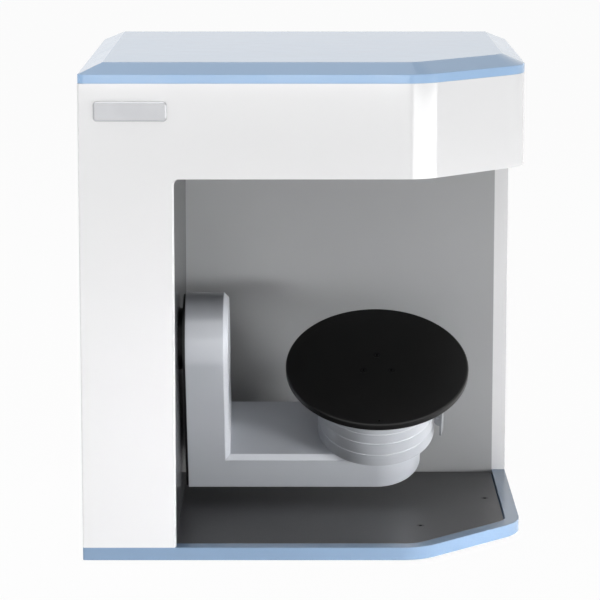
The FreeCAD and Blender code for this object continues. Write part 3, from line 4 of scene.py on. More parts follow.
import bmesh
import bpy
import numpy as np
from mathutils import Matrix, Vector


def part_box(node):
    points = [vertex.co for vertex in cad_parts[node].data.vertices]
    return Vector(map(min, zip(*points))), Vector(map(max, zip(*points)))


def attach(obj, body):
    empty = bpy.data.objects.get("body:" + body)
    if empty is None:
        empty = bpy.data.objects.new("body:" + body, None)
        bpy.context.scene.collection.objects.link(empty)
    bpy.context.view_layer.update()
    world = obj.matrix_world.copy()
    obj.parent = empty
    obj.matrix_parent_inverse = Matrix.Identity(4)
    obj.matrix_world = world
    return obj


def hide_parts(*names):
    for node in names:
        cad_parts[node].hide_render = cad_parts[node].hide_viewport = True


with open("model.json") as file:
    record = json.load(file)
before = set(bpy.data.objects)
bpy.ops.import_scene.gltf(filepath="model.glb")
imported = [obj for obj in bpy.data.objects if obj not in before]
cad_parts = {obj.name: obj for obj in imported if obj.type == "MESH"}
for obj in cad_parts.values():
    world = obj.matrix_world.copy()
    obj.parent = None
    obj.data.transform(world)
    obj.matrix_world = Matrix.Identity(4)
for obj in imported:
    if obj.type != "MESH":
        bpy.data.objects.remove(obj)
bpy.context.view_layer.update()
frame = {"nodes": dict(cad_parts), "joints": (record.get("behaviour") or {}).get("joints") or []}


# ------------------------------------------------------------------ base tray and its feet
# One injection moulding in glossy light blue plastic. Its rim runs round the sunk floor of the scan
# bay and is all that shows of it. Four black rubber feet are pressed into sockets underneath.
tray_low, tray_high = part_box("base_tray")
left, right = tray_low.x, tray_high.x
front, rear = tray_low.y, tray_high.y
base_bottom, base_top = tray_low.z, tray_high.z
pocket_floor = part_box("floor_panel")[0].z
chamfer_setback = 0.073
cabinet_corners = [(left, front), (right - chamfer_setback, front), (right, front + chamfer_setback),
                   (right, rear), (left, rear)]
body_radii = np.array([0.0015, 0.032, 0.040, 0.0015, 0.0015])
least_radius = 0.0003
edge_hold = 0.0006
tray_rims = (0.012, 0.011, 0.010)
pocket_radius = 0.022
under_inset = 0.009
under_step = 0.0024


def ring(corners, radii, insets, steps=12, hold=edge_hold):
    """Convex outline with round corners, one for each row of insets, as (row, corner, point, xy).

    Corner i moves to where its two edges, each shifted inwards by its own inset, cross. The arc's
    centre lies one radius inside both edges, and the arc is centre + radius * (cos a, sin a) with
    a running from the outward normal of one edge to that of the next. One more point lies on each
    edge just beyond the arc's ends.
    """
    corners = np.array(corners, float)
    radii, insets = np.atleast_2d(radii), np.atleast_2d(insets)
    along = np.roll(corners, -1, 0) - corners
    along /= np.linalg.norm(along, axis=1)[:, None]
    inward = np.stack([-along[:, 1], along[:, 0]], 1)
    arriving = np.roll(inward, 1, 0)
    meet = np.linalg.inv(np.stack([arriving, inward], 1))
    shifts = np.stack([np.roll(insets, 1, 1), insets], -1) + radii[..., None]
    centre = corners + np.einsum("nij,knj->kni", meet, shifts)
    start = np.arctan2(-arriving[:, 1], -arriving[:, 0])
    turn = np.mod(np.arctan2(-inward[:, 1], -inward[:, 0]) - start, 2 * pi)
    angle = start[:, None] + turn[:, None] * np.linspace(0, 1, steps + 1)
    circle = np.stack([np.cos(angle), np.sin(angle)], -1)
    arc = centre[:, :, None] + radii[..., None, None] * circle
    before = arc[:, :, :1] - hold * np.roll(along, 1, 0)[:, None]
    after = arc[:, :, -1:] + hold * along[:, None]
    return np.concatenate([before, arc, after], 2)


def lift(rows, heights):
    """Adds to each row of (x, y) points its height z."""
    z = np.broadcast_to(np.asarray(heights)[:, None, None], rows.shape[:2] + (1,))
    return np.concatenate([rows, z], -1)


def cabinet_rings(profile, radii):
    """Cabinet's outline carried along a profile of (inset, height) points, as (row, point, xyz)."""
    profile = np.array(profile, float)
    insets = np.repeat(profile[:, :1], len(cabinet_corners), 1)
    flat = ring(cabinet_corners, np.maximum(radii - insets, least_radius), insets)
    return lift(flat.reshape(len(profile), -1, 2), profile[:, 1])


def grid_quads(count, span, wrap=True):
    """Quads of a grid: point (i, j) is joined to (i + 1, j) and to (i, j + 1)."""
    index = np.arange(count * span).reshape(count, span)
    across = np.concatenate([index, index[:, :1]], 1) if wrap else index
    return np.stack([across[:-1, :-1], across[:-1, 1:], across[1:, 1:], across[1:, :-1]], -1)


def surface(rows, wrap=True, first_cap=False, last_cap=False):
    """Mesh of a grid of points, closed at its first and last row where asked."""
    count, span = rows.shape[:2]
    faces = grid_quads(count, span, wrap).reshape(-1, 4).tolist()
    if first_cap:
        faces.append(np.arange(span)[::-1].tolist())
    if last_cap:
        faces.append(np.arange((count - 1) * span, count * span).tolist())
    mesh = bpy.data.meshes.new("grid")
    mesh.from_pydata(rows.reshape(-1, 3).tolist(), [], faces)
    return mesh


def joined(meshes, weld=1e-6):
    """One mesh from several, with points closer than weld made one and every face turned outwards."""
    work = bmesh.new()
    for mesh in meshes:
        work.from_mesh(mesh)
    if weld:
        bmesh.ops.remove_doubles(work, verts=work.verts, dist=weld)
        bmesh.ops.dissolve_degenerate(work, edges=work.edges, dist=weld / 10)
    bmesh.ops.recalc_face_normals(work, faces=work.faces)
    mesh = bpy.data.meshes.new("joined")
    work.to_mesh(mesh)
    work.free()
    return mesh


def piece(name, mesh, material, body, stands_for, soft_edge=0.0, crease=30.0):
    """Finished object: edges sharper than crease get a small round, and it rides on its body."""
    mesh.name = name
    mesh.materials.append(material)
    mesh.shade_smooth()
    mesh.set_sharp_from_angle(angle=radians(crease))
    thing = bpy.data.objects.new(name, mesh)
    bpy.context.scene.collection.objects.link(thing)
    if soft_edge:
        bevel = thing.modifiers.new("edge", "BEVEL")
        bevel.width = soft_edge
        bevel.segments = 3
        bevel.limit_method = "ANGLE"
        bevel.angle_limit = radians(crease)
    shade = thing.modifiers.new("flats", "WEIGHTED_NORMAL")
    shade.keep_sharp = True
    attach(thing, body)
    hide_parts(*stands_for)
    return thing


def linear(red, green, blue):
    """Scene colour of an 8-bit display colour: ((c / 255 + 0.055) / 1.055) ^ 2.4."""
    share = np.array([red, green, blue]) / 255
    curve = np.where(share > 0.04045, ((share + 0.055) / 1.055) ** 2.4, share / 12.92)
    return (*curve, 1.0)


def finish(name, tones, cloud, roughness, speck, relief, **sockets):
    """Surface with two tones that drift over it, a fine speckle in its gloss and a fine relief.

    Noise of scale cloud mixes the tones. Noise of scale speck runs the roughness between its two
    values and raises the surface by relief metres. Everything else is set on the shader's own
    sockets.
    """
    material = bpy.data.materials.new(name)
    material.use_nodes = True
    nodes, links = material.node_tree.nodes, material.node_tree.links
    shader = nodes["Principled BSDF"]
    place = nodes.new("ShaderNodeTexCoord")
    drift, fine = nodes.new("ShaderNodeTexNoise"), nodes.new("ShaderNodeTexNoise")
    for noise, scale, detail in ((drift, cloud, 3.0), (fine, speck, 4.0)):
        noise.inputs["Scale"].default_value = scale
        noise.inputs["Detail"].default_value = detail
        links.new(place.outputs["Object"], noise.inputs["Vector"])
    ramp = nodes.new("ShaderNodeValToRGB")
    for stop, position, tone in zip(ramp.color_ramp.elements, (0.35, 0.65), tones):
        stop.position = position
        stop.color = linear(*tone)
    links.new(drift.outputs["Fac"], ramp.inputs["Fac"])
    links.new(ramp.outputs["Color"], shader.inputs["Base Color"])
    gloss = nodes.new("ShaderNodeMapRange")
    gloss.inputs["From Min"].default_value = 0.3
    gloss.inputs["From Max"].default_value = 0.7
    gloss.inputs["To Min"].default_value = roughness[0]
    gloss.inputs["To Max"].default_value = roughness[1]
    links.new(fine.outputs["Fac"], gloss.inputs["Value"])
    links.new(gloss.outputs["Result"], shader.inputs["Roughness"])
    bump = nodes.new("ShaderNodeBump")
    bump.inputs["Strength"].default_value = 0.5
    bump.inputs["Distance"].default_value = relief
    links.new(fine.outputs["Fac"], bump.inputs["Height"])
    links.new(bump.outputs["Normal"], shader.inputs["Normal"])
    for socket, value in sockets.items():
        shader.inputs[socket.replace("_", " ")].default_value = value
    return material


def dress(material, *nodes):
    """Gives CAD nodes a material in place of their plain colour."""
    for node in nodes:
        slots = frame["nodes"][node].data.materials
        slots.clear()
        slots.append(material)


blue_gloss = finish("blue_gloss", ((130, 155, 183), (133, 158, 186)), 9, (0.09, 0.13), 60, 0.000001,
                    Specular_IOR_Level=0.36)
black_rubber = finish("black_rubber", ((26, 26, 27), (34, 34, 35)), 60, (0.7, 0.85), 1400, 0.00005)

outside_rows = cabinet_rings([(under_inset, base_bottom + under_step), (under_inset, base_bottom),
                              (0, base_bottom), (0, base_top)], body_radii)
pocket_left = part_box("bay_left_wall")[0].x - left
pocket_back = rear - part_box("bay_back_wall")[1].y
pocket_insets = [*tray_rims, pocket_back, pocket_left]
pocket_radii = [least_radius, pocket_radius, pocket_radius, least_radius, least_radius]
pocket = ring(cabinet_corners, pocket_radii, pocket_insets).reshape(1, -1, 2)
pocket_rows = lift(np.repeat(pocket, 2, 0), [base_top, pocket_floor])
tray_mesh = joined([surface(np.concatenate([outside_rows, pocket_rows]), first_cap=True, last_cap=True)])
tray = piece("tray", tray_mesh, blue_gloss, "cabinet", ["base_tray"], soft_edge=0.0007)
dress(black_rubber, "rubber_feet")


# ------------------------------------------------------------------ floor of the bay
# A dark painted sheet lies in the tray's recess, a hair's breadth clear of the rim, and two black
# countersunk screws hold it. The paint has a fine matt texture that dulls every reflection.
dark_panel = finish("dark_panel", ((68, 68, 70), (73, 73, 75)), 14, (0.42, 0.5), 1800, 0.00001,
                    Specular_IOR_Level=0.6)
black_steel = finish("black_steel", ((20, 20, 21), (28, 28, 30)), 200, (0.32, 0.5), 3000, 0.00001,
                     Metallic=0.6)
dress(dark_panel, "floor_panel")
dress(black_steel, "floor_screws")


# ------------------------------------------------------------------ white body wrap
# Column and head are one wrap of glossy white plastic, two bent sheets butt-welded. The scan bay is
# cut out of it with a small round in its upper corner. A lip under the head, a flange beside the
# bay's back panel and a frame for the rear cover are part of it.
body_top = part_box("body_shell")[1].z
bay_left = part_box("floor_panel")[0].x
bay_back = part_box("bay_back_wall")[0].y
ceiling_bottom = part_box("bay_ceiling")[0].z
cover_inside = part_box("rear_cover")[0].y
wall = 0.003
lip_inset = 0.009
lip_sheet = 0.0015
head_bottom = ceiling_bottom - lip_sheet
opening_radius = 0.0045
fillet_steps = 8
fillet_levels = opening_radius * np.tan(np.linspace(0, pi / 4, fillet_steps // 2 + 1))
return_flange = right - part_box("bay_back_wall")[1].x
rear_flange_reach = 0.012
rear_flange_sheet = 0.0025
rear_flange_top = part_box("column_frame")[1].z
tiny = 1e-9

white_gloss = finish("white_gloss", ((231, 231, 232), (233, 233, 234)), 5, (0.12, 0.16), 50, 0.000002,
                     Coat_Weight=0.5, Coat_Roughness=0.04, Coat_IOR=1.5)


def wrap_path(inset=0.0):
    """Outline of the wrap from the rear cover's left edge round the front to its right edge.

    It follows the cabinet's outline, moved in by inset. The inside runs straight out at both rear
    ends, so that the sheet's edge is square there.
    """
    order = [4, 0, 1, 2, 3]
    turned = [cabinet_corners[i] for i in order]
    radii = np.maximum(body_radii[order] - inset, least_radius)
    corners = ring(turned, radii, [[inset] * 5])
    path = np.concatenate([[(left + wall, rear)], corners.reshape(-1, 2), [(right - wall, rear)]])
    if inset:
        span = corners.shape[2] + 1
        side_end = rear - body_radii[0] - edge_hold
        path[:span] = np.stack([np.full(span, left + inset), np.linspace(rear, side_end, span)], -1)
        path[-span:] = np.stack([np.full(span, right - inset), np.linspace(side_end, rear, span)], -1)
    return path


def wrap_skin():
    """Outer skin: point (s, z) is the outline's point after a run of s, raised to height z.

    Grid lines lie where the opening's edges and the rays of its round corner end. The cells that lie
    in the opening are left out.
    """
    path = wrap_path()
    run = np.concatenate([[0], np.cumsum(np.linalg.norm(np.diff(path, axis=0), axis=1))])
    face = path[:, 1] <= front + tiny
    front_start = np.interp(bay_left, path[face, 0], run[face])
    side = path[:, 0] >= right - tiny
    side_end = np.interp(bay_back, path[side, 1], run[side])
    columns = front_start + opening_radius - fillet_levels
    stops = np.unique(np.round(np.concatenate([run, columns, [front_start, side_end]]), 9))
    x, y = np.interp(stops, run, path[:, 0]), np.interp(stops, run, path[:, 1])
    low = head_bottom - opening_radius + fillet_levels
    heights = np.unique(np.round(np.concatenate([[base_top], low, [head_bottom, body_top]]), 9))
    grid = lift(np.repeat(np.stack([x, y], -1)[None], len(heights), 0), heights)
    middle_run = (stops[1:] + stops[:-1]) / 2
    middle_height = (heights[1:] + heights[:-1]) / 2
    open_cell = ((middle_run > front_start) & (middle_run < side_end))[None] & (
        middle_height < head_bottom)[:, None]
    return grid.reshape(-1, 3), grid_quads(len(heights), len(stops), wrap=False)[~open_cell]


def fillet_patch():
    """Skin between the opening's round corner and the sharp corner that it fills.

    Each ray leaves the arc's centre at an angle a. It crosses the arc at radius * (-cos a, sin a)
    and ends on the square about it, where the larger of the two is stretched to one radius.
    """
    angle = np.linspace(0, pi / 2, fillet_steps + 1)
    cx, cz = bay_left + opening_radius, head_bottom - opening_radius
    arc = np.stack([cx - opening_radius * np.cos(angle), cz + opening_radius * np.sin(angle)], -1)
    rising = np.minimum(np.tan(np.minimum(angle, pi / 4)), 1) * opening_radius
    level = np.minimum(np.tan(np.minimum(pi / 2 - angle, pi / 4)), 1) * opening_radius
    flat = np.concatenate([arc, np.stack([cx - level, cz + rising], -1)])
    points = np.stack([flat[:, 0], np.full(len(flat), front), flat[:, 1]], -1)
    return points, grid_quads(2, len(arc), wrap=False).reshape(-1, 4)


def sheet(skins, outer, inner):
    """Sheet between a skin of quads on the outer path and its copy on the inner one.

    A point at share t of one stretch of the outer path goes to share t of the same stretch of the
    inner one. Points are rounded to a micrometre, so that the skins' common points are equal, and
    strips close the sheet along the edges that no two quads share.
    """
    starts = np.cumsum([0] + [len(skin[0]) for skin in skins[:-1]])
    points = np.round(np.concatenate([skin[0] for skin in skins]), 6)
    quads = np.concatenate([skin[1] + start for skin, start in zip(skins, starts)])
    start, run = outer[:-1], np.diff(outer, axis=0)
    away = points[:, None, :2] - start
    share = np.clip((away * run).sum(-1) / (run ** 2).sum(-1), 0, 1)
    nearest = np.linalg.norm(away - share[..., None] * run, axis=-1).argmin(1)
    t = share[np.arange(len(points)), nearest][:, None]
    inside = np.concatenate([inner[nearest] * (1 - t) + inner[nearest + 1] * t, points[:, 2:]], 1)
    count = len(points)
    same = np.unique(points, axis=0, return_inverse=True)[1].reshape(-1)
    edges = quads[:, [0, 1, 1, 2, 2, 3, 3, 0]].reshape(-1, 2)
    single = edges[~np.isin(same[edges] @ [count, 1], same[edges] @ [1, count])]
    strips = np.concatenate([single[:, ::-1], single + count], 1)
    faces = np.concatenate([quads, quads[:, ::-1] + count, strips])
    mesh = bpy.data.meshes.new("sheet")
    mesh.from_pydata(np.concatenate([points, inside]).tolist(), [], faces.tolist())
    return mesh


def block(low, high):
    """Plain block between two corners, as a four-sided loft."""
    corners = [(low[0], low[1]), (high[0], low[1]), (high[0], high[1]), (low[0], high[1])]
    rows = np.array([corners, corners], float)
    return surface(lift(rows, [low[2], high[2]]), first_cap=True, last_cap=True)


def head_lip_mesh():
    """Flange turned in under the head: a flat strip carried along the opening's front and side."""
    outer, inner = wall, lip_inset
    insets = np.repeat([[outer], [inner], [inner], [outer]], 5, 1)
    corners = ring(cabinet_corners, np.maximum(body_radii - insets, least_radius), insets)
    strip = corners[:, 1:3].reshape(4, -1, 2)
    start = np.stack([np.full(4, bay_left), front + insets[:, 0]], -1)[:, None]
    end = np.stack([right - insets[:, 0], np.full(4, bay_back)], -1)[:, None]
    rows = lift(np.concatenate([start, strip, end], 1),
                [head_bottom, head_bottom, head_bottom + lip_sheet, head_bottom + lip_sheet])
    return surface(rows.transpose(1, 0, 2), first_cap=True, last_cap=True)


def rear_flange_mesh():
    """Frame behind the rear cover, which its screws bite into, as a closed chain of rectangles."""
    outer = (left + wall, right - wall, base_top, rear_flange_top)
    inner = (outer[0] + rear_flange_reach, outer[1] - rear_flange_reach, base_top + rear_flange_reach,
             rear_flange_top - rear_flange_reach)
    back, face = cover_inside, cover_inside - rear_flange_sheet
    loops = []
    for (x0, x1, z0, z1), y in ((outer, back), (outer, face), (inner, face), (inner, back), (outer, back)):
        loops.append([(x0, y, z0), (x1, y, z0), (x1, y, z1), (x0, y, z1)])
    return surface(np.array(loops))


wrap_sheet = sheet([wrap_skin(), fillet_patch()], wrap_path(), wrap_path(wall))
flange = block((right - return_flange, bay_back, base_top), (right - wall, bay_back + wall, ceiling_bottom))
wrap_parts = [wrap_sheet, head_lip_mesh(), flange, rear_flange_mesh()]
wrap_mesh = joined([joined([part]) for part in wrap_parts], weld=0)
wrap = piece("body_wrap", wrap_mesh, white_gloss, "cabinet", ["body_shell"], soft_edge=0.0004)


# ------------------------------------------------------------------ faceted lid
# The lid is moulded in the tray's glossy blue plastic; its tone is painted lighter than the tray's, as
# painted light for the brighter light on the lid. Sloping facets rise from an upright rim to a flat top,
# and a rib underneath drops just inside the wrap and locates the lid.
lid_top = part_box("top_cover")[1].z
lid_rim_top = body_top + 0.006
lid_inset = 0.0161
lid_radii = np.array([0.0045, 0.032, 0.040, 0.0045, 0.0045])
seam = 0.0003
rib_inside = wall + 0.0023
skirt = wall + 0.001

lid_profile = [(lid_inset + wall / 2, lid_top - wall), (rib_inside, lid_rim_top - wall / 2),
               (rib_inside, body_top - skirt), (wall + seam, body_top - skirt), (wall + seam, body_top),
               (0, body_top), (0, lid_rim_top), (lid_inset, lid_top)]
lid_mesh = joined([surface(cabinet_rings(lid_profile, lid_radii), first_cap=True, last_cap=True)])
# The tray's blue, painted lighter: painted light on the lid.
lid_blue_painted_light = finish("lid_blue_painted_light", ((157, 190, 226), (160, 193, 229)), 9, (0.09, 0.13), 60, 0.000001,
                   Specular_IOR_Level=0.36)
lid = piece("lid", lid_mesh, lid_blue_painted_light, "cabinet", ["top_cover"], soft_edge=0.0004, crease=16)


# ------------------------------------------------------------------ panels of the scan bay
# Plain painted sheets close the bay: a satin grey one at the back, a smoother one on the left with a
# hole for the flange of the arm's shaft, and a dark ceiling that holds the window. The left one is the
# same satin grey painted darker, as painted shade.
grey_satin = finish("grey_satin", ((161, 162, 163), (165, 166, 167)), 8, (0.36, 0.42), 900, 0.000004,
                    Coat_Weight=0.2, Coat_Roughness=0.2)
# The bay's satin grey, painted darker for the left panel: painted shade.
grey_satin_painted_shade = finish("grey_satin_painted_shade", ((52, 53, 55), (57, 58, 60)), 8, (0.2, 0.26), 900, 0.000003,
                   Coat_Weight=0.2, Coat_Roughness=0.1)
dress(grey_satin_painted_shade, "bay_left_wall")
dress(grey_satin, "bay_back_wall")
dress(dark_panel, "bay_ceiling")


# ------------------------------------------------------------------ swing arm
# The arm is one L-shaped casting, bead-blasted and sprayed silver grey. Its leg is round at the top,
# about the pivot, its foot is round under the turntable, and a chamfer breaks the inner edges. A dark
# sheet lines the back of the leg, and a plate with flush screws closes the foot underneath. The
# liner's black and the arm's black shaft also darken the gap between leg and left wall: painted shade.
joints = {joint["name"]: joint for joint in frame["joints"]}
pivot = np.array(joints["arm_swing"]["pos_m"])
table_axis = np.array(joints["plate_spin"]["axis"])
arm_tilt = atan2(-table_axis[1], table_axis[2])
arm_low, arm_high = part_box("swing_arm")
leg_left = arm_low.x
table_x = joints["plate_spin"]["pos_m"][0]
arm_half = arm_high.x - table_x
leg_width = 0.0305
foot_height = 0.029
arm_drop = 0.1131
arm_chamfer = 0.0034
cover_margin = 0.006
cover_sheet = 0.002
foot_top = foot_height - arm_drop

black_plastic = finish("black_plastic", ((24, 24, 26), (30, 30, 32)), 50, (0.4, 0.5), 1600, 0.00002)
silver_paint = finish("silver_paint", ((193, 196, 202), (197, 200, 206)), 12, (0.28, 0.32), 900, 0.000002,
                      Metallic=0.2, Coat_Weight=0.2, Coat_Roughness=0.2)


def placed(mesh, move):
    """Mesh with every point put through a move."""
    points = np.empty(len(mesh.vertices) * 3)
    mesh.vertices.foreach_get("co", points)
    mesh.vertices.foreach_set("co", move(points.reshape(-1, 3)).ravel())
    return mesh


def on_arm(points):
    """Points in the arm's upright frame, leant about the X axis by the arm's tilt, at the pivot."""
    x, y, z = np.moveaxis(np.asarray(points, float), -1, 0)
    c, s = cos(arm_tilt), sin(arm_tilt)
    return np.stack([x, y * c - z * s, y * s + z * c], -1) + pivot


def leg_part(x, half, low, steps=32):
    """Upright stadium without its foot: up one side, round the pivot as half * (cos, sin), down."""
    angle = np.linspace(pi, 0, steps + 1)
    y = np.concatenate([[-half], half * np.cos(angle), [half]])
    z = np.concatenate([[low], half * np.sin(angle), [low]])
    return np.stack([np.full(len(y), x), y, z], -1)


def foot_part(z, half, start, steps=32):
    """Level stadium open at the leg: out along one side, round the table's axis, and back."""
    angle = np.linspace(pi / 2, -pi / 2, steps + 1)
    x = np.concatenate([[start], table_x + half * np.cos(angle), [start]])
    y = np.concatenate([[half], half * np.sin(angle), [-half]])
    return np.stack([x, y, np.full(len(x), z)], -1)


def arm_layers():
    """Closed loops over leg and foot, one for each depth of the casting, mitred where they meet."""
    loops = []
    for share, inset in ((0, 0), (1 - arm_chamfer / leg_width, 0), (1, arm_chamfer)):
        x = leg_left + share * leg_width
        z = share * foot_height - arm_drop
        half = arm_half - inset
        loops.append(np.concatenate([leg_part(x, half, z), foot_part(z, half, x)[1:-1]]))
    return np.array(loops)


def arm_mesh():
    """Casting: its layers, the leg's two flat sides, the foot's top and its recessed underside."""
    layers = arm_layers()
    leg_points = len(leg_part(0, 1, 0))
    outer, inner = layers[0], layers[-1]
    parts = [surface(layers)]
    for loop in (outer, inner):
        parts.append(surface(loop[None, :leg_points], first_cap=True))
    foot = np.concatenate([inner[leg_points - 1:], inner[:1]])
    parts.append(surface(foot[None], first_cap=True))
    start = leg_left + cover_margin
    under = foot_part(-arm_drop, arm_half - cover_margin, start)
    raised = under + (0, 0, cover_sheet)
    rim = np.concatenate([outer[leg_points - 1:], outer[:1]])
    parts.append(surface(np.stack([rim, under, raised]), last_cap=True))
    return placed(joined(parts), on_arm)


arm = piece("swing_arm_casting", arm_mesh(), silver_paint, "arm", ["swing_arm"], soft_edge=0.0004, crease=25)
dress(silver_paint, "arm_cover")
# The shaft is dressed black, and with the black liner it darkens the gap beside the leg: painted shade.
dress(black_steel, "arm_cover_screws", "swing_shaft")
dress(black_plastic, "arm_liner")


# ------------------------------------------------------------------ turntable drum
# A turned aluminium cup, sprayed silver grey, stands on the arm's foot and hides the turntable's
# motor. Three fine ring grooves run round it, and a small lug on its right carries the lever's pin.
drum_radius = 0.0426
drum_height = 0.0519
drum_wall = 0.003
drum_floor = 0.003
cap_depth = 0.005
cap_ledge = 0.0025
groove_heights = (0.0103, 0.0208, 0.0294)
groove_depth = 0.0005
drum_round = 0.0003
boss_radius = 0.0105
boss_top = 0.009
seat_radius = 0.008
seat_bottom = 0.004

silver_drum = finish("silver_drum", ((176, 179, 184), (180, 183, 188)), 20, (0.34, 0.4), 1500, 0.000004,
                     Metallic=0.15, Coat_Weight=0.2, Coat_Roughness=0.25)


def lathe(profile, steps=128):
    """Turned form: point (r, z) of the profile becomes (r cos a, r sin a, z) for a round the axis."""
    profile = np.array(profile, float)
    angle = np.linspace(0, 2 * pi, steps, endpoint=False)
    r, z = profile[:, :1], profile[:, 1:]
    return np.stack([r * np.cos(angle), r * np.sin(angle), np.broadcast_to(z, (len(r), steps))], -1)


def at_drum(points):
    """Points about the turntable's axis, measured from the drum's foot, in their place."""
    return on_arm(np.asarray(points) + (table_x, 0, foot_top))


def soften(points, radius, steps=4, hold=0.0003):
    """Profile with rounded corners: (1-t)^2 A + 2t(1-t) C + t^2 B, A and B set back from corner C."""
    points = np.array(points, float)
    corner = points[1:-1]
    back, ahead = points[:-2] - corner, points[2:] - corner
    back_run, ahead_run = np.linalg.norm(back, axis=1), np.linalg.norm(ahead, axis=1)
    back, ahead = back / back_run[:, None], ahead / ahead_run[:, None]
    size = np.minimum(radius, 0.4 * np.minimum(back_run, ahead_run))[:, None]
    t = np.linspace(0, 1, steps + 1)[:, None]
    a, b = (corner + back * size)[:, None], (corner + ahead * size)[:, None]
    curve = (1 - t) ** 2 * a + 2 * t * (1 - t) * corner[:, None] + t * t * b
    gap = np.minimum(hold, 0.1 * np.minimum(back_run, ahead_run))[:, None, None]
    rows = np.concatenate([a + back[:, None] * gap, curve, b + ahead[:, None] * gap], 1)
    return np.concatenate([points[:1], rows.reshape(-1, 2), points[-1:]])


def drum_profile():
    """Half section of the cup, from its axis underneath, up the grooved wall and down inside."""
    inner = drum_radius - drum_wall
    under_cap = drum_height - cap_depth
    points = [(0, 0), (drum_radius, 0)]
    for height in groove_heights:
        points += [(drum_radius, height - groove_depth), (drum_radius - groove_depth, height),
                   (drum_radius, height + groove_depth)]
    points += [(drum_radius, drum_height), (inner, drum_height), (inner, under_cap),
               (inner - cap_ledge, under_cap), (inner, under_cap - cap_ledge * 1.5), (inner, drum_floor),
               (boss_radius, drum_floor), (boss_radius, boss_top), (seat_radius, boss_top),
               (seat_radius, seat_bottom), (0, seat_bottom)]
    return soften(points, drum_round, steps=3)


lever_angle = radians(-15)
lever_gap = 0.0013
lever_start = drum_radius + lever_gap
lever_thickness = 0.0056
lever_top = 0.034
pin_drop = 0.012
pin_out = lever_start + lever_thickness * 0.45
pin_up = lever_top - pin_drop
lug_thickness = 0.0022
lug_nose = 0.0018


def at_lever(points):
    """Points as (outwards, sideways, up) beside the drum, turned to the lever's place round it."""
    x, y, z = np.moveaxis(np.asarray(points, float), -1, 0)
    c, s = cos(lever_angle), sin(lever_angle)
    return at_drum(np.stack([x * c - y * s, x * s + y * c, z], -1))


def side_rows(flat, half):
    """Rows at -half and at half sideways of an outline that is drawn as (outwards, up)."""
    return np.array([np.insert(flat, 1, y, 1) for y in (-half, half)])


def lug_mesh():
    """Lug: a plate with a round nose about the pin, drawn as (outwards, up)."""
    angle = np.linspace(-pi / 2, pi / 2, 13)
    nose = np.stack([pin_out + lug_nose * np.cos(angle), pin_up + lug_nose * np.sin(angle)], -1)
    root = drum_radius - drum_wall * 0.5
    flat = np.concatenate([[(root, pin_up - lug_nose)], nose, [(root, pin_up + lug_nose)]])
    return surface(at_lever(side_rows(flat, lug_thickness / 2)), first_cap=True, last_cap=True)


drum_mesh = joined([surface(at_drum(lathe(drum_profile()))), lug_mesh()])
drum = piece("drum", drum_mesh, silver_drum, "arm", ["turntable_housing"], crease=28)


# ------------------------------------------------------------------ release lever and its pin
# A small moulded lever is slotted over the drum's lug and hangs there on a steel pin. The block takes
# the finger, and the thin tail below it springs the latch. Its mid grey is the tone that the block
# shows in the plate's shadow: painted shade.
lever_width = 0.007
lever_block = 0.019
lever_tail = 0.009
tail_thickness = 0.0014
lever_nick = lever_thickness * 0.4
lever_round = 0.0008
slot_half_height = 0.004
slot_face = 0.001
lug_gap = 0.0003
pin_bore = 0.00105
overshoot = 0.001

# The lever's grey is its tone in the plate's shadow: painted shade.
lever_grey = finish("lever_grey", ((120, 122, 126), (130, 132, 136)), 90, (0.35, 0.45), 2500, 0.00001)
gear_steel = finish("gear_steel", ((150, 152, 156), (164, 166, 170)), 60, (0.28, 0.36), 1500, 0.000005,
                    Metallic=1.0)


def carved(mesh, cutters):
    """Mesh with the cutters' shapes taken out of it, one after another."""
    thing, knife = (bpy.data.objects.new(name, mesh) for name in ("carving", "knife"))
    for tool in (thing, knife):
        bpy.context.scene.collection.objects.link(tool)
    cut = thing.modifiers.new("cut", "BOOLEAN")
    cut.operation = "DIFFERENCE"
    cut.solver = "EXACT"
    cut.object = knife
    for cutter in cutters:
        knife.data = joined([cutter])
        thing.data = bpy.data.meshes.new_from_object(
            thing.evaluated_get(bpy.context.evaluated_depsgraph_get()))
    done = thing.data
    for tool in (thing, knife):
        bpy.data.objects.remove(tool)
    return done


def lever_outline():
    """Lever's side, drawn as (outwards, up): a block with a nicked corner and a thin tail.

    The list of corners runs on past its start, because soften() leaves its two end points as they
    are, and the corner that comes out twice is dropped.
    """
    x0, x1 = lever_start, lever_start + lever_thickness
    z0, z1 = lever_top - lever_block, lever_top
    tail_x, tail_z = x1 - tail_thickness, z0 - lever_tail
    corners = [(x0 + lever_nick, z0), (tail_x, z0), (tail_x, tail_z), (x1, tail_z), (x1, z1), (x0, z1),
               (x0, z0 + lever_nick)]
    rounds = soften(corners + corners[:3], lever_round)[1:-1]
    return rounds[:len(rounds) * len(corners) // (len(corners) + 1)]


def lever_mesh(steps=24):
    """Lever: its outline carried across its width, without the lug's slot and the pin's bore."""
    half = lever_width / 2
    solid = joined([surface(side_rows(lever_outline(), half), first_cap=True, last_cap=True)])
    side = lug_thickness / 2 + lug_gap
    slot = block((lever_start - overshoot, -side, pin_up - slot_half_height),
                 (lever_start + lever_thickness - slot_face, side, pin_up + slot_half_height))
    angle = np.linspace(0, 2 * pi, steps, endpoint=False)
    hole = np.stack([pin_out + pin_bore * np.cos(angle), pin_up + pin_bore * np.sin(angle)], -1)
    bore = surface(side_rows(hole, half + overshoot), first_cap=True, last_cap=True)
    return placed(carved(solid, [slot, bore]), at_lever)


lever = piece("lever", lever_mesh(), lever_grey, "lever", ["release_lever"], soft_edge=0.00025, crease=40)
dress(gear_steel, "lever_pin")


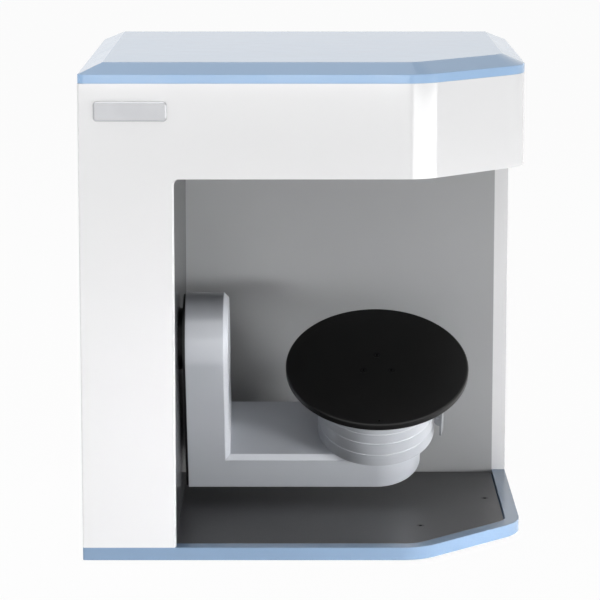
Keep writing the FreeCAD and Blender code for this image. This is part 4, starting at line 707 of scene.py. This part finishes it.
# ------------------------------------------------------------------ scan plate
# The plate is a turned disc with a rounded rim, painted matt black. Three countersunk screws hold it
# on the spindle, and a small drilled dot near the rim marks its front.
plate_low, plate_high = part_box("scan_plate")
plate_radius = (plate_high.x - plate_low.x) / 2
plate_thickness = 0.0056
plate_gap = 0.0015
plate_round = 0.0014
dot_radius = 0.0011
dot_depth = 0.0008
dot_from_edge = 0.0041
screw_circle = 0.0115
screw_head = 0.00285
screw_shank = 0.00155
plate_under = drum_height + plate_gap
plate_top = plate_under + plate_thickness

black_plate = finish("black_plate", ((9, 9, 9), (13, 12, 12)), 25, (0.36, 0.44), 2200, 0.000004,
                     Specular_IOR_Level=0.35)


def plate_profile():
    """Half section of the disc: flat faces and a rim of quarter rounds."""
    corners = [(0, plate_under), (plate_radius, plate_under), (plate_radius, plate_top), (0, plate_top)]
    return soften(corners, plate_round, steps=8, hold=edge_hold)


def countersink(x, y):
    """Cutter for a countersunk hole: a cone that narrows to the shank's bore."""
    sink = plate_top - (screw_head - screw_shank)
    above, below = plate_top + overshoot, plate_under - overshoot
    profile = [(0, above), (screw_head, above), (screw_head, plate_top), (screw_shank, sink),
               (screw_shank, below), (0, below)]
    return surface(lathe(profile, 32) + (x, y, 0))


def dot_cutter():
    """Cutter for the index dot at the front of the plate."""
    above, bottom = plate_top + overshoot, plate_top - dot_depth
    profile = [(0, above), (dot_radius, above), (dot_radius, bottom), (0, bottom)]
    return surface(lathe(profile, 24) + (0, dot_from_edge - plate_radius, 0))


screw_angles = [radians(turn) for turn in (90, 210, 330)]
cutters = [countersink(screw_circle * cos(turn), screw_circle * sin(turn)) for turn in screw_angles]
disc = carved(joined([surface(lathe(plate_profile(), 160))]), cutters + [dot_cutter()])
plate = piece("plate", placed(disc, at_drum), black_plate, "turntable", ["scan_plate"], crease=28)
dress(black_steel, "plate_screws")


# ------------------------------------------------------------------ badge plate
# A blank plate of satin aluminium is stuck on the column, high on its left. A bevel runs round its
# flat face, and its corners are round.
badge_low, badge_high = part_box("badge_plate")
badge_bevel = 0.001
badge_radius = 0.0024

silver_badge = finish("silver_badge", ((182, 183, 186), (187, 188, 191)), 40, (0.2, 0.26), 2500, 0.000002,
                      Metallic=0.35, Coat_Weight=0.5, Coat_Roughness=0.06)


def badge_mesh():
    """Rounded rectangle carried outwards by a small wall and then inwards up its bevel."""
    corners = [(badge_low.x, badge_low.z), (badge_high.x, badge_low.z), (badge_high.x, badge_high.z),
               (badge_low.x, badge_high.z)]
    profile = np.array([(0, badge_high.y), (0, badge_low.y + badge_bevel), (badge_bevel, badge_low.y)])
    insets = np.repeat(profile[:, :1], 4, 1)
    flat = ring(corners, badge_radius - insets, insets, steps=8, hold=0.0002).reshape(3, -1, 2)
    y = np.broadcast_to(profile[:, 1][:, None], flat.shape[:2])
    rows = np.stack([flat[..., 0], y, flat[..., 1]], -1)
    return joined([surface(rows, first_cap=True, last_cap=True)])


badge = piece("badge", badge_mesh(), silver_badge, "cabinet", ["badge_plate"], soft_edge=0.00015)


# ------------------------------------------------------------------ rear cover and what it carries
# A flat steel sheet, powder-coated light grey, closes the back. Fan grille and vents are punched in
# it, and the mains inlet, the rocker switch and the data socket sit in its cut-outs.
grey_sheet = finish("grey_sheet", ((204, 205, 207), (208, 209, 211)), 6, (0.3, 0.36), 700, 0.000004,
                    Coat_Weight=0.2, Coat_Roughness=0.2)
socket_metal = finish("socket_metal", ((168, 170, 172), (182, 184, 186)), 80, (0.3, 0.4), 2600, 0.000005,
                      Metallic=0.9)
dress(grey_sheet, "rear_cover")
dress(black_steel, "rear_cover_screws")
dress(black_plastic, "fan_frame", "fan_rotor", "power_inlet", "switch_frame", "power_switch")
dress(socket_metal, "data_socket")


# ------------------------------------------------------------------ column frame and the arm's drive
# Folded, zinc-plated steel stands behind the bay's left panel and carries a milled block with two
# bearings. A geared motor turns the large brass gear on the arm's shaft through its pinion.
cast_aluminium = finish("cast_aluminium", ((150, 152, 155), (162, 164, 167)), 30, (0.42, 0.55), 700, 0.00005,
                        Metallic=0.8)
bearing_steel = finish("bearing_steel", ((186, 188, 190), (196, 198, 200)), 60, (0.16, 0.24), 900, 0.000003,
                       Metallic=1.0)
zinc_steel = finish("zinc_steel", ((176, 178, 180), (188, 190, 192)), 40, (0.28, 0.42), 1200, 0.00001,
                    Metallic=0.9)
gear_brass = finish("gear_brass", ((190, 160, 92), (202, 172, 104)), 60, (0.28, 0.36), 1500, 0.000005,
                    Metallic=1.0)
motor_steel = finish("motor_steel", ((128, 130, 133), (140, 142, 145)), 50, (0.3, 0.42), 1300, 0.000008,
                     Metallic=0.9)
dress(zinc_steel, "column_frame", "motor_bracket")
dress(black_steel, "frame_screws")
dress(cast_aluminium, "bearing_block")
dress(bearing_steel, "swing_bearings")
dress(gear_steel, "swing_pinion_shaft")
dress(gear_brass, "swing_gear")
dress(motor_steel, "swing_motor")


# ------------------------------------------------------------------ inside the drum
# The plate's steel spindle runs in two sealed bearings. A milled aluminium cap closes the cup over
# the spindle's brass gear, which a small geared motor turns through its pinion.
dress(cast_aluminium, "turntable_cap")
dress(bearing_steel, "turntable_bearings")
dress(gear_steel, "spindle", "turntable_pinion_shaft")
dress(gear_brass, "spindle_gear")
dress(motor_steel, "turntable_motor")


# ------------------------------------------------------------------ optics in the head
# Projector and two cameras have black anodised bodies and stand on a milled aluminium plate. Through
# the glass window they look down at the scan plate. Their lenses are black tubes with coated glass.
black_anodised = finish("black_anodised", ((28, 28, 30), (36, 36, 38)), 30, (0.36, 0.46), 1500, 0.00001,
                        Metallic=0.6)
lens_black = finish("lens_black", ((10, 10, 14), (18, 18, 26)), 200, (0.08, 0.16), 3000, 0.000002,
                    Coat_Weight=1.0, Coat_Roughness=0.02)
window_glass = finish("window_glass", ((236, 244, 242), (240, 248, 246)), 20, (0.0, 0.03), 300, 0.000001,
                      Transmission_Weight=1.0, IOR=1.5)
dress(cast_aluminium, "optics_plate", "optics_supports")
dress(black_anodised, "projector", "left_camera", "right_camera")
dress(lens_black, "projector_lens", "left_camera_lens", "right_camera_lens")
dress(window_glass, "scan_window")


# ------------------------------------------------------------------ main board and power supply
# The board, under a green solder mask, stands on brass posts behind the bay's back panel. The power
# supply is a ventilated case of zinc-plated sheet on the base, at the back of the column.
board_green = finish("board_green", ((18, 70, 44), (30, 92, 58)), 160, (0.3, 0.42), 900, 0.00001,
                     Coat_Weight=0.4, Coat_Roughness=0.15)
dress(board_green, "main_board")
dress(gear_brass, "board_standoffs")
dress(zinc_steel, "power_supply")


# ------------------------------------------------------------------ camera
# A long lens looks at the front from two metres away and a little above, just left of the middle.
# Its pitch is small, so that upright edges stay nearly upright.
camera_place = (-0.0038, -2.0845, 0.5190)
camera_pitch = radians(9.83)
camera_lens = 175.11

camera_data = bpy.data.cameras.new("camera")
camera = bpy.data.objects.new("camera", camera_data)
bpy.context.scene.collection.objects.link(camera)
camera_data.sensor_width = 36
camera_data.lens = camera_lens
camera_data.clip_end = 20
camera.location = camera_place
camera.rotation_euler = (pi / 2 - camera_pitch, 0, 0)
bpy.context.scene.camera = camera


# ------------------------------------------------------------------ table and studio light
# The object stands on a plain pale table in a white room. The room shows white to the camera and in
# gloss and glass, but gives little light of its own: the soft boxes light the object.
floor_reach = 6.0
floor_tone = 0.86
floor_white = 0.96
room_strength = 0.1


def white_where_seen(tree, dull, white, share=1.0):
    """Mix of two shaders: camera, glossy and transmission rays get this share of the white one."""
    nodes, links = tree.nodes, tree.links
    ray = nodes.new("ShaderNodeLightPath")
    seen = ray.outputs["Is Camera Ray"]
    for other in (ray.outputs["Is Glossy Ray"], ray.outputs["Is Transmission Ray"]):
        either = nodes.new("ShaderNodeMath")
        either.operation = "MAXIMUM"
        links.new(seen, either.inputs[0])
        links.new(other, either.inputs[1])
        seen = either.outputs["Value"]
    part = nodes.new("ShaderNodeMath")
    part.operation = "MULTIPLY"
    part.inputs[1].default_value = share
    links.new(seen, part.inputs[0])
    blend = nodes.new("ShaderNodeMixShader")
    links.new(part.outputs["Value"], blend.inputs["Fac"])
    links.new(dull.outputs[0], blend.inputs[1])
    links.new(white.outputs[0], blend.inputs[2])
    return blend.outputs["Shader"]


floor_rows = [[(-floor_reach, y, 0), (floor_reach, y, 0)] for y in (-floor_reach, floor_reach)]
floor_mesh = surface(np.array(floor_rows), wrap=False)
floor = bpy.data.objects.new("table_top", floor_mesh)
bpy.context.scene.collection.objects.link(floor)

pale = bpy.data.materials.new("pale_table")
pale.use_nodes = True
nodes, links = pale.node_tree.nodes, pale.node_tree.links
paint = nodes["Principled BSDF"]
paint.inputs["Base Color"].default_value = (floor_tone, floor_tone, floor_tone, 1)
paint.inputs["Roughness"].default_value = 0.9
glow = nodes.new("ShaderNodeEmission")
glow.inputs["Color"].default_value = (1, 1, 1, 1)
links.new(white_where_seen(pale.node_tree, paint, glow, floor_white),
          nodes["Material Output"].inputs["Surface"])
floor_mesh.materials.append(pale)

world = bpy.data.worlds.new("white_room")
bpy.context.scene.world = world
world.use_nodes = True
nodes, links = world.node_tree.nodes, world.node_tree.links
dim, bright = nodes["Background"], nodes.new("ShaderNodeBackground")
for background, strength in ((dim, room_strength), (bright, 1.0)):
    background.inputs["Color"].default_value = (1, 1, 1, 1)
    background.inputs["Strength"].default_value = strength
links.new(white_where_seen(world.node_tree, dim, bright), nodes["World Output"].inputs["Surface"])


def soft_box(name, place, aim, size, radiance, grid=180, mirrored=True):
    """Area light at a place, turned to aim. Its watts are radiance * pi * width * height.

    A honeycomb grid narrows its beam to so many degrees. Where mirrored is false, the light lights
    the object but leaves no image of itself in the gloss.
    """
    light = bpy.data.lights.new(name, "AREA")
    light.shape = "RECTANGLE"
    light.size, light.size_y = size
    light.energy = radiance * pi * size[0] * size[1]
    light.spread = radians(grid)
    box = bpy.data.objects.new(name, light)
    bpy.context.scene.collection.objects.link(box)
    box.location = place
    box.rotation_euler = (Vector(aim) - Vector(place)).to_track_quat("-Z", "Y").to_euler()
    box.visible_camera = False
    box.visible_glossy = mirrored


# The table glows a little. The long strip fills the head's corner, and low lamps at the right front
# light the undersides and throw the shades upwards.
soft_box("light_table", (0, 0, 0.0004), (0, 0, 1), (4.0, 4.0), 0.45, mirrored=False)
soft_box("side_strip", (0.95, -0.75, 0.10), (0.05, -0.1, 0.17), (1.35, 0.22), 4.3)
soft_box("low_strip", (0.40, -0.42, 0.012), (0.02, 0, 0.12), (0.35, 0.05), 2.0, mirrored=False)
soft_box("right_lamp", (1.0, -0.45, 0.06), (0, -0.03, 0.10), (0.5, 0.10), 11.0, mirrored=False)
soft_box("right_grid", (0.75, -0.45, 0.03), (0, -0.04, 0.085), (0.25, 0.06), 5.0, 30, mirrored=False)

# Large boxes at the left, above and behind give every side a soft light.
soft_box("left_box", (-1.1, -0.9, 0.35), (0, 0, 0.15), (0.8, 0.5), 3.5, mirrored=False)
soft_box("top_box", (-0.3, -0.5, 1.7), (0, 0, 0.2), (1.6, 1.2), 1.9)
soft_box("rear_box", (0.3, 1.6, 1.4), (0, 0, 0.2), (1.2, 0.8), 1.5, mirrored=False)

# A thin strip low in front is mirrored in the lid's rim, and a high box behind in its facets.
soft_box("rim_strip", (0, -2.05, 0.158), (0, -0.145, 0.332), (1.0, 0.03), 12.0)
soft_box("facet_box", (-0.05, 1.1, 1.9), (0, -0.14, 0.34), (0.8, 0.5), 0.7)

bpy.context.scene.view_settings.view_transform = "Standard"
